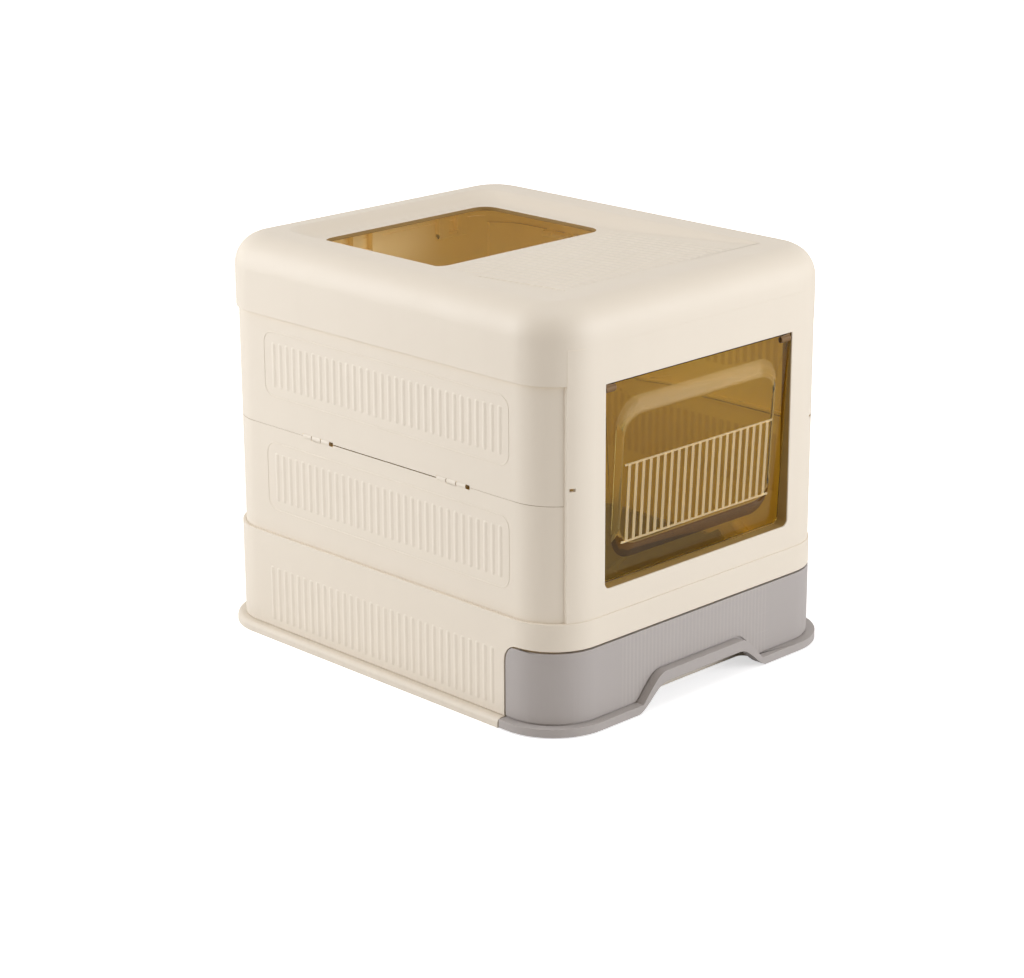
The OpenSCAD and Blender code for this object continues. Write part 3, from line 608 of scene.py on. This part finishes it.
# A narrow deck bridges the front and the tray
deck = plan_block("deck", 0.0013, 0.0694, 0.0715)
soften(trim(deck, (0, -0.1843, 0), (0, 1, 0)), 0.0003)
tray = cube("tray", (-0.165, -0.1865, 0.0036), (0.165, 0.1999, 0.068))
round_edges(tray, 2, 0.022, 8)
pick(tray, "EDGE", lambda mid, way: mid.z < 0.004)
bpy.ops.mesh.bevel(offset=0.004, segments=4, affect="EDGES")
close()
thicken(open_ends(tray, "top"), 0.0022)
lip = cube("lip", (-0.168, -0.1895, 0.0658), (0.168, 0.2029, 0.068))
round_edges(lip, 2, 0.025, 8)
thicken(open_ends(lip), 0.0045)
fuse(tray, lip, cube("web", (-0.143, -0.1865, 0.06), (0.143, -0.1843, 0.0712)))
soften(tray, 0.0005)
join(drawer, bead, deck, tray)
smooth(drawer)


def fine_flutes(tree, tint, rise):
    """Fine upright flutes across the flat of the drawer front, their crests lightened as a painted
    highlight.
    """
    pitch, half_row, shift = 0.0046, 0.09, 0.003
    place = node(tree, "SeparateXYZ", {0: node(tree, "TexCoord").outputs["Object"]}).outputs
    wave = calc(tree, "SINE", calc(tree, "MULTIPLY", place["X"], 2 * math.pi / pitch))
    crest = calc(tree, "POWER", calc(tree, "MULTIPLY_ADD", wave, 0.5, 0.5), 2.0)
    off_middle = calc(tree, "ABSOLUTE", calc(tree, "ADD", place["X"], shift))
    across = node(tree, "MapRange", {"Value": off_middle}, From_Min=0.097, From_Max=half_row)
    # The flutes are on the front face alone, and not on the bead
    behind_bead = calc(tree, "GREATER_THAN", place["Y"], -0.2148)
    on_face = calc(tree, "LESS_THAN", place["Y"], -0.2138)
    shown = calc(
        tree, "MULTIPLY", calc(tree, "MULTIPLY", across.outputs["Result"], on_face), behind_bead
    )
    flute = calc(tree, "MULTIPLY", crest, shown)
    # Painted highlight: the flute crests are mixed towards a paler grey
    crest_highlight = node(tree, "Mix", {0: calc(tree, "MULTIPLY", flute, 0.22), 6: tint}, data_type="RGBA")
    crest_highlight.inputs[7].default_value = (0.60, 0.55, 0.50, 1)
    return crest_highlight.outputs[2], calc(tree, "ADD", rise, calc(tree, "MULTIPLY", flute, 3.0))


grey = plastic("grey_plastic", (0.435, 0.400, 0.378), dust=0.15, extra=fine_flutes)
paint(drawer, grey)
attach(drawer, "drawer")
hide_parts("litter_drawer")

# ---------------------------------------------------------------- side walls
# Each side is two cream panels that wrap a little way round the corners. They stand
# inside the tub's rim and the hood on inner hinges, and fold on outer knuckles halfway
# up. Ribs in a shallow frame stiffen them, and the upper ones carry a snap hook.


def rib_frame(face_x, low, high):
    """The thin bead that frames a row of ribs, 1.4 mm wide and 9 mm outside it."""
    rise, reach = 0.0003, 0.002
    y, half, out, width = -0.005, 0.1548, 0.009, 0.0014
    bead = cube(
        "bead", (face_x - rise, y - half, low - out), (face_x + rise, y + half, high + out)
    )
    half, out = half - width, out - width
    inner = cube(
        "inner", (face_x - reach, y - half, low - out), (face_x + reach, y + half, high + out)
    )
    cut(round_edges(bead, 0, 0.0115, 6), round_edges(inner, 0, 0.0101, 6))
    return soften(bead, 0.00025, 1)


def fold_rod(name, side, y, start, end, radius, sides=28):
    """A cylinder on a side's fold axis, between two distances from the hinge at y."""
    line = side * fold_x
    return rod(name, radius, (line, y + start, fold_z), (line, y + end, fold_z), sides)


def side_panel(name, side, low, high, ribs, hinge_z, notch, own, others):
    """One panel of a side wall; own and others are the fold barrels it carries and clears,
    counted from the middle one of three."""
    rough_end = [((side * 0.1530, 0, 0), (-side, 0, 0))]
    panel = ring(name, wall_in, low, high, panel_t, rough_end)
    # The flange stiffens the edge at the fold
    flange = (high - 0.0026, high - 0.0001) if high < 0.2 else (low + 0.0001, low + 0.0026)
    fuse(panel, ring("flange", wall_in + 0.0001, *flange, flange_t, rough_end))
    soften(panel, 0.0003)
    cut(panel, cube("relief", (side * 0.1700, -0.0745, 0.1986), (side * 0.18, 0.0640, 0.1994)))
    # Every notch and gap is a little larger than the barrel that turns in it
    reach = barrel_l / 2 + 0.0003
    for y in edge_hinge_ys:
        for e in (-barrel_l, barrel_l):
            near, far = y + e - reach, y + e + reach
            cut(panel, cube("notch", (side * 0.16, near, notch[0]), (side * 0.18, far, notch[1])))
    half, gap_half = middle_l / 2, barrel_l / 2 + 0.0002
    for y in fold_hinge_ys:
        for i in others:
            at = i * barrel_l
            cut(panel, fold_rod("gap", side, y, at - gap_half, at + gap_half, barrel_r + 0.0002))
        for i in own:
            at = i * barrel_l
            barrel = fold_rod("barrel", side, y, at - half, at + half, barrel_r)
            fuse(panel, soften(barrel, 0.0002, 1))
        cut(panel, fold_rod("bore", side, y, -0.0193, 0.0191, bore_r, bore_sides))
        cut(panel, fold_rod("pocket", side, y, -0.022, -0.0174, 0.0030, 22))
    trim(panel, (side * seam_x, 0, 0), (-side, 0, 0))
    turn = 180 if side > 0 else 0
    places = [((side * edge_hinge_x, y, hinge_z), turn) for y in edge_hinge_ys]
    middles = copies(knuckle(0.0045, middle_l), places)
    row = rib_row(side * wall_x, wall_row_y, *ribs)
    return join(panel, *middles, rib_frame(side * wall_x, *ribs), *row)


# How far the side walls stand in from the tub's face, and their thickness
wall_in = 0.0032
wall_x = tub_x - wall_in
panel_t, flange_t = 0.0026, 0.0069
# Where they end at the front and rear panels
seam_x = 0.1543
# The fold, its hinges, and the middle barrels between two others
fold_x, fold_z = 0.1715, 0.199
fold_hinge_ys = (-0.091, 0.081)
middle_l = 0.0114
hood_hinge_z = 0.3195
hook_low, hook_high = 0.2118, 0.2142

for side, hand in ((-1, "left"), (1, "right")):
    lower = side_panel(
        hand + "_lower_wall", side, 0.075, 0.19892,
        ribs=(0.129, 0.1757), hinge_z=tub_hinge_z, notch=(0.07, 0.0819), own=(-1, 1), others=(0,),
    )
    upper = side_panel(
        hand + "_upper_wall", side, 0.19908, 0.323,
        ribs=(0.2353, 0.278), hinge_z=hood_hinge_z, notch=(0.3161, 0.33), own=(0,), others=(-1, 1),
    )
    # The hook's arm springs from the panel's front edge, and its nose is behind the front's slot
    arm = cube("arm", (side * 0.1558, -0.2026, hook_low), (side * 0.1492, -0.2000, hook_high))
    nose = cube("nose", (side * 0.1520, -0.2050, hook_low), (side * 0.1496, -0.2020, hook_high))
    join(upper, soften(fuse(arm, nose), 0.0003))
    for wall, node_name in ((lower, hand + "_lower_panel"), (upper, hand + "_upper_panel")):
        smooth(wall)
        # The inner faces get the painted warm glow
        paint(wall, cream, inside_painted_glow, lambda p, way: depth(p) > 0.0047)
        # The faces in the fold's gap get the painted shade
        wall.data.materials.append(painted_shade)
        for face in wall.data.polygons:
            if abs(face.center.z - fold_z) < 0.0012 and depth(face.center) > 0.0034:
                face.material_index = 2
        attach(wall, "housing")
        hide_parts(node_name)

# ---------------------------------------------------------------- hinge pins
# The pins are drawn steel wire, cut to length and driven into the barrels' bores.
# Friction holds each of them, and only their ends show.

steel, tree, shader = new_material("pin_steel")
place = node(tree, "TexCoord").outputs["Object"]
long_grain = node(tree, "Mapping", {"Vector": place}, Scale=(2600, 180, 2600)).outputs["Vector"]
drawn = node(tree, "TexNoise", {"Vector": long_grain}, Scale=1, Detail=2).outputs["Fac"]
tree.links.new(calc(tree, "MULTIPLY_ADD", drawn, 0.25, 0.22), shader.inputs["Roughness"])
bump = node(tree, "Bump", {"Height": drawn}, Strength=0.2, Distance=0.00005)
tree.links.new(bump.outputs["Normal"], shader.inputs["Normal"])
film = node(tree, "TexNoise", {"Vector": place}, Scale=90).outputs["Fac"]
oiled = node(tree, "Mix", {0: film}, data_type="RGBA")
oiled.inputs[6].default_value = (0.36, 0.35, 0.33, 1)
oiled.inputs[7].default_value = (0.26, 0.25, 0.24, 1)
tree.links.new(oiled.outputs[2], shader.inputs["Base Color"])
shader.inputs["Metallic"].default_value = 1.0
for name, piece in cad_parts.items():
    if name.endswith("_pins"):
        piece.data.materials.clear()
        piece.data.materials.append(steel)

# ---------------------------------------------------------------- front panel
# The front is a cream panel that wraps to the corner seams, flush with the hood. It
# hangs from the hood's barrels, tucks a tongue behind the tub's rim, and a deep frame
# stiffens the window that the flap hangs in.


def cross_wall(name):
    """The wall that the front and the rear share, made as the front and a little too large."""
    keep = front_part(0.1555)
    wall = ring(name, hood_in, 0.0977, 0.3312, panel_t, keep)
    fuse(wall, ring("flange", hood_in + 0.0001, 0.0978, 0.1012, flange_t, keep))
    return fuse(wall, cube("tongue", (-corner_x, -0.2115, 0.088), (corner_x, -0.2089, 0.1012)))


def square_off(wall, end, top):
    """Cuts the ends and the top to size, with the crisp edges of a close joint."""
    trim(wall, (end, 0, 0), (1, 0, 0))
    trim(wall, (-end, 0, 0), (-1, 0, 0))
    return trim(wall, (0, 0, top), (0, 0, 1))


def window_block(name, grow, near, far):
    """A block through the window, with its lower corners rounded."""
    x = window_half + grow
    piece = cube(name, (-x, near, window_low - grow), (x, far, window_high + grow))
    return round_edges(piece, 1, 0.006 + grow, 6, lambda mid: mid.z < 0.2)


def on_flap_axis(name, radius, start, end, sides=28):
    """A cylinder along the axis that the flap swings about."""
    return rod(name, radius, (start, flap_y, flap_z), (end, flap_y, flap_z), sides)


def hung_knuckles():
    """The three middle barrels that a panel hangs from, made for the front one."""
    places = [((x, -cross_hinge_y, cross_hinge_z), 90) for x in cross_hinge_xs]
    return copies(knuckle(0.0048, middle_l), places)


def inside_panel(p, way):
    """True on the inner faces of the front and the rear panel, which get the painted warm glow."""
    return depth(p) > 0.0022 and abs(p.x) < 0.1541


# How far the hood and the panels flush with it stand in from the tub's face, and where
# the panels end
hood_in, panel_end = 0.0008, 0.1542
window_half, window_low, window_high = 0.1165, 0.120, 0.296
flap_y, flap_z = -0.2105, 0.291
cross_hinge_xs, cross_hinge_y, cross_hinge_z = (-0.1105, 0, 0.1105), 0.2076, 0.317
# Behind this depth the window's reveal is in shade, and gets the painted shade
shade_y = -0.2125

front = fuse(cross_wall("front_wall"), window_block("frame", panel_t, hood_in - tub_y, -0.2017))
for side in (-1, 1):
    fuse(front, on_flap_axis("boss", 0.003, side * window_half, side * 0.1233))
cut(front, window_block("opening", 0, -0.23, -0.19))
cut(front, on_flap_axis("bore", bore_r, -0.1225, 0.1225, bore_sides))
soften(front, 0.0007, 3)
for side in (-1, 1):
    cut(front, cube("slot", (side * 0.1524, -0.24, 0.2116), (side * 0.1475, -0.12, 0.2144)))
square_off(front, panel_end, 0.32985)
score(front, (0, shade_y, 0), (0, 1, 0))
smooth(join(front, *hung_knuckles()))
paint(front, cream, inside_painted_glow, inside_panel)
front.data.materials.append(painted_shade)
# The window's reveal behind shade_y gets the painted shade
reach = 0.0003
for face in front.data.polygons:
    p = face.center
    between = abs(p.x) < window_half + reach and window_low - reach < p.z < window_high + reach
    if between and p.y > shade_y:
        face.material_index = 2
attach(front, "housing")
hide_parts("front_panel")

# ---------------------------------------------------------------- rear panel
# The rear panel is the front's plain twin without a window. It hangs from the hood in
# the same way and swings up and inward when the box is folded.

rear = square_off(soften(cross_wall("rear_wall"), 0.0007, 3), panel_end, 0.3296)
join(rear, *hung_knuckles())
rear.rotation_euler.z = math.pi
only(rear)
bpy.ops.object.transform_apply(location=True, rotation=True, scale=True)
smooth(rear)
paint(rear, cream, inside_painted_glow, inside_panel)
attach(rear, "rear_wall")
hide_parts("rear_panel")

# ---------------------------------------------------------------- hood
# The hood is the roof and the upper rim in one cream moulding. Its roof dips in a dish
# round the opening that the cat climbs through, and its inner brackets hold the outer
# barrels of the hinges. Its front and rear edges are raised for the end panels.

# The roof's heights: its crest, the dish round the opening, and the dish at the front end
crest_z, dish_z, dish_front_z = 0.365, 0.355, 0.363
dish_top = crest_z + 0.00005
roof_r = 0.028
# Half the width of the dish: its floor, its floor at the front end, and its top
dish_half, dish_front_half, dish_top_half = 0.1095, 0.1255, 0.1300
# The slope in front of the opening starts here and ends at the dish's front end
slope_y, front_end = -0.008, -0.165
# The opening: half its width, its front and rear edge, and the lip round it
mouth_half, mouth_front, mouth_rear, lip_w = 0.1035, -0.001, 0.153, 0.002

hood = plan_block("hood", hood_in, 0.300, crest_z, 16)
pick(hood, "EDGE", lambda mid, way: mid.z > crest_z - 0.0001)
bpy.ops.mesh.bevel(offset=roof_r, segments=9, affect="EDGES")
close()
dish = cube("dish", (-dish_half, front_end, dish_z), (dish_half, 0.160, dish_top))
round_edges(dish, 2, 0.020, 6, lambda mid: mid.y > 0)
pick(dish, "VERT", lambda p, n: p.z > 0.36)
bpy.ops.transform.resize(value=(dish_top_half / dish_half, 1, 1), center_override=(0, 0, 0))
close()
pick(dish, "VERT", lambda p, n: p.z > 0.36 and p.y > 0)
bpy.ops.transform.translate(value=(0, 0.0190, 0))
close()
score(dish, (0, slope_y, 0), (0, 1, 0))
pick(dish, "VERT", lambda p, n: p.z < 0.36 and p.y < -0.1)
bpy.ops.transform.translate(value=(0, 0, 0.008))
bpy.ops.transform.resize(value=(dish_front_half / dish_half, 1, 1), center_override=(0, 0, 0))
close()
# Its sides swing up to the crest in an S
pick(dish, "EDGE", lambda mid, way: abs(way.z) > 0.2)
bpy.ops.mesh.subdivide(number_cuts=9)
mesh = bmesh.from_edit_mesh(dish.data)
for v in mesh.verts:
    foot = dish_front_z if v.co.y < -0.1 else dish_z
    climb = (v.co.z - foot) / (dish_top - foot)
    v.co.z = foot + (dish_top - foot) * (1 - math.cos(math.pi * climb)) / 2
bmesh.update_edit_mesh(dish.data)
close()
cut(hood, dish)
thicken(open_ends(hood, "bottom"), 0.002)
x, y, far_y = mouth_half + lip_w, mouth_front - lip_w, mouth_rear + lip_w
lip = cube("lip", (-x, y, 0.351), (x, far_y, 0.3548))
mouth = cube("mouth", (-mouth_half, mouth_front, 0.34), (mouth_half, mouth_rear, 0.38))
fuse(hood, round_edges(lip, 2, 0.018, 10))
cut(hood, round_edges(mouth, 2, 0.016, 10))
soften(hood, 0.0006, 3)
for y in (-1, 1):
    cut(hood, cube("notch", (-seam_x, y * 0.12, 0.29), (seam_x, y * 0.25, 0.3299)))
inner = edge_knuckles(0.0065, hood_hinge_z)
# The barrels for the front and the rear panel hang from the roof on slanted webs
half = barrel_l / 2
web = cube("web", (-half, 0.2045, cross_hinge_z), (half, 0.2107, 0.3536))
pick(web, "VERT", lambda p, n: p.z > 0.35 and p.y > 0.207)
bpy.ops.transform.translate(value=(0, 0, -0.0072))
close()
axis = [(x, cross_hinge_y, cross_hinge_z) for x in (-0.01, -half, half, 0.01)]
barrel = fuse(rod("barrel", barrel_r, axis[1], axis[2]), web)
cut(barrel, rod("bore", bore_r, axis[0], axis[3], bore_sides))
soften(barrel, 0.0002, 1)
places = []
for turn in (0, 180):
    for x in cross_hinge_xs:
        places += [((x + e, 0, 0), turn) for e in (-barrel_l, barrel_l)]
outer = copies(barrel, places)
smooth(join(hood, *inner, *outer))


def under_roof(p, way):
    """True below the skin of the roof's rounded edge, and on what faces down from the roof; these
    faces get the painted warm glow.
    """
    round_start = 0.0288
    if depth(p) < round_start:
        return math.hypot(round_start - depth(p), max(p.z - (crest_z - roof_r), 0)) < 0.0272
    return way.z < -0.3 or p.z < 0.3505


paint(hood, cream, inside_painted_glow, under_roof)
hood.data.materials.append(painted_shade)
# The opening's cut faces get the painted shade
reach = 0.0007
for face in hood.data.polygons:
    p = face.center
    between = abs(p.x) < mouth_half + reach and mouth_front - reach < p.y < mouth_rear + reach
    if between and face.normal.z < 0.6:
        face.material_index = 2
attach(hood, "housing")
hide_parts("hood")

# ---------------------------------------------------------------- roof tread
# The tread is a thin cream plate with 24 wavy ridges, laid on the slope in front of the
# opening. It strips litter from the paws as the cat walks off the roof.

ridge_pitch = 0.00854
# Each ridge waves from side to side in short steps
step, steps, sway = 0.0055, 25, 0.0010
first_step = -0.150

tread = cube("tread", (-0.1075, -0.154, -0.0009), (0.1075, -0.003, 0.0005))
soften(round_edges(tread, 2, 0.002, 3), 0.0003)
ridge = cube("ridge", (-0.0030, -0.151, 0.0002), (0.0030, -0.006, 0.0011))
pick(ridge, "FACE", lambda mid, way: way.z > 0.9)
bpy.ops.transform.resize(value=(0.3, 0.98, 1), center_override=(0, -0.0785, 0))
close()
for i in range(1, steps + 1):
    score(ridge, (0, first_step + step * i, 0), (0, 1, 0))
for i in range(1, steps + 1):
    pick(ridge, "VERT", lambda p, n: abs(p.y - first_step - step * i) < 0.0002)
    bpy.ops.transform.translate(value=(sway * math.sin(i * 1.1), 0, 0))
    close()
ridges = copies(ridge, [(((i - 11.5) * ridge_pitch, 0, 0), 0) for i in range(24)])
smooth(join(tread, *ridges))
tread.rotation_euler.x = -math.atan((dish_front_z - dish_z) / (slope_y - front_end))
tread.location = (0, slope_y, dish_z)
only(tread)
bpy.ops.object.transform_apply(location=True, rotation=True, scale=True)
paint(tread, cream)
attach(tread, "housing")
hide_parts("roof_tread")

# ---------------------------------------------------------------- front flap
# The flap is one clear amber polystyrene moulding, 2.2 mm thick. Its middle is drawn
# outwards in a shallow blister with upright ribs between two beads, and two steel
# pins at the top let it swing in and out.


def bulge(name, near, far, inset, radius):
    """The flap's bulge between two depths, inset all round. Its slopes are 5 mm wide at
    the sides and 15 mm at the ends."""
    x, z = bulge_x - inset, bulge_z - inset
    low, high = window_middle - z, window_middle + z
    piece = round_edges(cube(name, (-x, near, low), (x, far, high)), 1, radius, 12)
    pick(piece, "FACE", lambda mid, way: way.y < -0.99)
    narrower = (1 - 0.005 / x, 1, 1 - 0.015 / z)
    bpy.ops.transform.resize(value=narrower, center_override=(0, 0, window_middle))
    close()
    return piece


# Half the bulge's width and height, on the window's middle
bulge_x, bulge_z = 0.101, 0.0725
window_middle = (window_low + window_high) / 2
# The upright ribs' ends and spacing
ribs_low, ribs_high, slat_pitch = 0.1545, 0.2225, 0.0087
# It hangs three degrees inwards, because its bulge is the heavier side
lean = math.radians(3)

flap = window_block("flap", -0.0008, -0.2116, -0.2094)
blister = bulge("blister", -0.2161, -0.2110, 0, 0.024)
pick(blister, "EDGE", lambda mid, way: mid.y < -0.21605)
bpy.ops.mesh.bevel(offset=0.0025, segments=4, affect="EDGES")
close()
fuse(flap, blister)
cut(flap, bulge("hollow", -0.2139, -0.2080, 0.0022, 0.0229))
for side in (-1, 1):
    fuse(flap, on_flap_axis("eye", 0.003, side * 0.1155, side * 0.1035))
    cut(flap, on_flap_axis("bore", 0.0015, side * 0.12, side * 0.1095, bore_sides))
soften(flap, 0.0004, angle=50)
stiffener = cube("stiffener", (-0.093, -0.2170, -0.0009), (0.093, -0.2158, 0.0009))
beads = copies(soften(stiffener, 0.0003), [((0, 0, z), 0) for z in (ribs_low, ribs_high)])
slat = cube("slat", (-0.0018, -0.2168, ribs_low), (0.0018, -0.2158, ribs_high))
slats = copies(soften(slat, 0.0004), [(((i - 10) * slat_pitch, 0, 0), 0) for i in range(21)])
flap_ribs = join(*beads, *slats)
flap_ribs.name = "flap_ribs"
for piece in (flap, flap_ribs):
    pick(piece, "FACE", lambda mid, way: True)
    bpy.ops.transform.rotate(value=-lean, orient_axis="X", center_override=(0, flap_y, flap_z))
    close()
    smooth(piece)


def clear_amber(name, colour, through, roughness):
    """Clear tinted plastic; lamps shine through it in its own colour."""
    material, tree, shader = new_material(name)
    skin = group_node(tree, moulded, Colour=(*colour, 1), Tone=0.04, Sheen=roughness, Grain=0.25)
    tree.links.new(skin["Colour"], shader.inputs["Base Color"])
    tree.links.new(calc(tree, "MULTIPLY", skin["Roughness"], 0.5), shader.inputs["Roughness"])
    bump = node(tree, "Bump", {"Height": skin["Height"]}, Strength=0.1, Distance=0.00004)
    tree.links.new(bump.outputs["Normal"], shader.inputs["Normal"])
    shader.inputs["Transmission Weight"].default_value = through
    shader.inputs["IOR"].default_value = 1.45
    shader.inputs["Specular IOR Level"].default_value = 0.1
    shader.inputs["Specular Tint"].default_value = (1, 0.80, 0.46, 1)
    lamp = node(tree, "BsdfTransparent")
    lamp.inputs["Color"].default_value = (*colour, 1)
    shadow = node(tree, "LightPath").outputs["Is Shadow Ray"]
    mixed = node(tree, "MixShader", {0: shadow, 1: shader.outputs[0], 2: lamp.outputs[0]})
    tree.links.new(mixed.outputs[0], tree.nodes["Material Output"].inputs["Surface"])
    return material


def flap_zone(p, way):
    """0 on the clear plate, 1 on the blister's upper and side slopes, paler as a painted highlight,
    2 on its lower slope, dark with painted shade, and 3 on the eyes."""
    if p.z > 0.2865 and abs(p.x) > 0.1033:
        return 3
    facing = Vector((0, -math.cos(lean), -math.sin(lean))).dot(way)
    if not 0.5 < facing < 0.992 or abs(p.x) > 0.1012 or not 0.1340 < p.z < 0.2805:
        return 0
    return 2 if way.z < -0.2 else 1


flap.data.materials.clear()
# The blister's upper and side slopes are paler and rougher, the paler colour a painted highlight;
# its lower slope is painted dark as shade
for finish in (
    clear_amber("amber_plastic", (0.69, 0.55, 0.12), 1.0, 0.08),
    clear_amber("amber_plastic_slopes_painted_highlight", (0.88, 0.70, 0.30), 0.90, 0.4),
    clear_amber("amber_plastic_low_slope_painted_shade", (0.12, 0.07, 0.02), 0.95, 0.2),
    plastic("amber_plastic_eyes", (0.19, 0.10, 0.028), sheen=0.6, dust=0),
):
    flap.data.materials.append(finish)
for face in flap.data.polygons:
    face.material_index = flap_zone(face.center, face.normal)
paint(flap_ribs, clear_amber("amber_plastic_ribs", (0.96, 0.84, 0.58), 0.66, 0.5))
for piece in (flap, flap_ribs):
    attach(piece, "flap")
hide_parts("front_flap")

# ---------------------------------------------------------------- floor, lamps and camera
# The box stands on a plain white floor under an even, slightly warm sky. Large soft lamps
# stand beyond the left and the front and hang above, and the backdrop stays white.

bpy.ops.object.select_all(action="DESELECT")
bpy.ops.mesh.primitive_plane_add(size=12, location=(0, 0, -0.0002))
floor = bpy.context.object
floor.name = "floor"
paper, tree, shader = new_material("floor_white")
shader.inputs["Base Color"].default_value = (0.86, 0.86, 0.86, 1)
shader.inputs["Roughness"].default_value = 0.9
seen = node(tree, "AddShader", {0: shader.outputs[0]})
place = node(tree, "TexCoord").outputs["Object"]
far_off = node(tree, "VectorMath", {0: place}, operation="LENGTH").outputs["Value"]
lift = node(
    tree, "MapRange", {"Value": far_off}, From_Min=0.5, From_Max=1.6, To_Min=0.62, To_Max=1.1
).outputs["Result"]
# What the camera sees of the floor is lifted to plain white
glow = node(tree, "Emission", {"Strength": lift})
tree.links.new(glow.outputs[0], seen.inputs[1])
direct = node(tree, "LightPath").outputs["Is Camera Ray"]
mixed = node(tree, "MixShader", {0: direct, 1: shader.outputs[0], 2: seen.outputs[0]})
tree.links.new(mixed.outputs[0], tree.nodes["Material Output"].inputs["Surface"])
floor.data.materials.append(paper)

world = bpy.data.worlds.new("studio")
bpy.context.scene.world = world
world.use_nodes = True
tree = world.node_tree
sky = tree.nodes["Background"]
sky.inputs["Color"].default_value = (1, 0.87, 0.74, 1)
sky.inputs["Strength"].default_value = 0.31
white = node(tree, "Background", Strength=1.0)
white.inputs["Color"].default_value = (1, 1, 1, 1)
path = node(tree, "LightPath").outputs
clear = calc(tree, "MAXIMUM", path["Is Glossy Ray"], path["Is Transmission Ray"])
direct = calc(tree, "MAXIMUM", path["Is Camera Ray"], clear)
mixed = node(tree, "MixShader", {0: direct, 1: sky.outputs[0], 2: white.outputs[0]})
tree.links.new(mixed.outputs[0], tree.nodes["World Output"].inputs["Surface"])

middle, distance = Vector((0, 0, 0.18)), 2.3
for name, way, power, size in (
    ("lamp_left", (-1, 0.90, 0.50), 34, 1.8),
    ("lamp_right", (0.50, -1, 0.30), 32, 1.8),
    ("lamp_top", (-0.1, -0.1, 1), 15, 1.9),
):
    bpy.ops.object.select_all(action="DESELECT")
    way = Vector(way).normalized()
    turn = way.to_track_quat("Z", "Y").to_euler()
    bpy.ops.object.light_add(type="AREA", location=way * distance + middle, rotation=turn)
    lamp = bpy.context.object
    lamp.name = name
    lamp.data.energy, lamp.data.size = power, size
    lamp.data.color = (1, 1.04, 1.11)

camera = bpy.data.cameras.new("camera")
eye = bpy.data.objects.new("camera", camera)
bpy.context.scene.collection.objects.link(eye)
yaw, pitch, roll = math.radians(-44.5), math.radians(18.0), math.radians(-0.3)
back = Vector((math.sin(yaw) * math.cos(pitch), -math.cos(yaw) * math.cos(pitch), math.sin(pitch)))
level = Vector((0, 0, 1)).cross(back).normalized()
upright = back.cross(level)
right = math.cos(roll) * level + math.sin(roll) * upright
up = math.cos(roll) * upright - math.sin(roll) * level
turned = Matrix((right, up, back)).transposed().to_4x4()
eye.matrix_world = Matrix.Translation((-1.6492, -1.6645, 0.8934)) @ turned
camera.lens, camera.sensor_width, camera.sensor_fit = 95.65, 36, "HORIZONTAL"
camera.clip_start, camera.clip_end = 0.05, 50
bpy.context.scene.camera = eye
bpy.context.scene.view_settings.view_transform = "Standard"
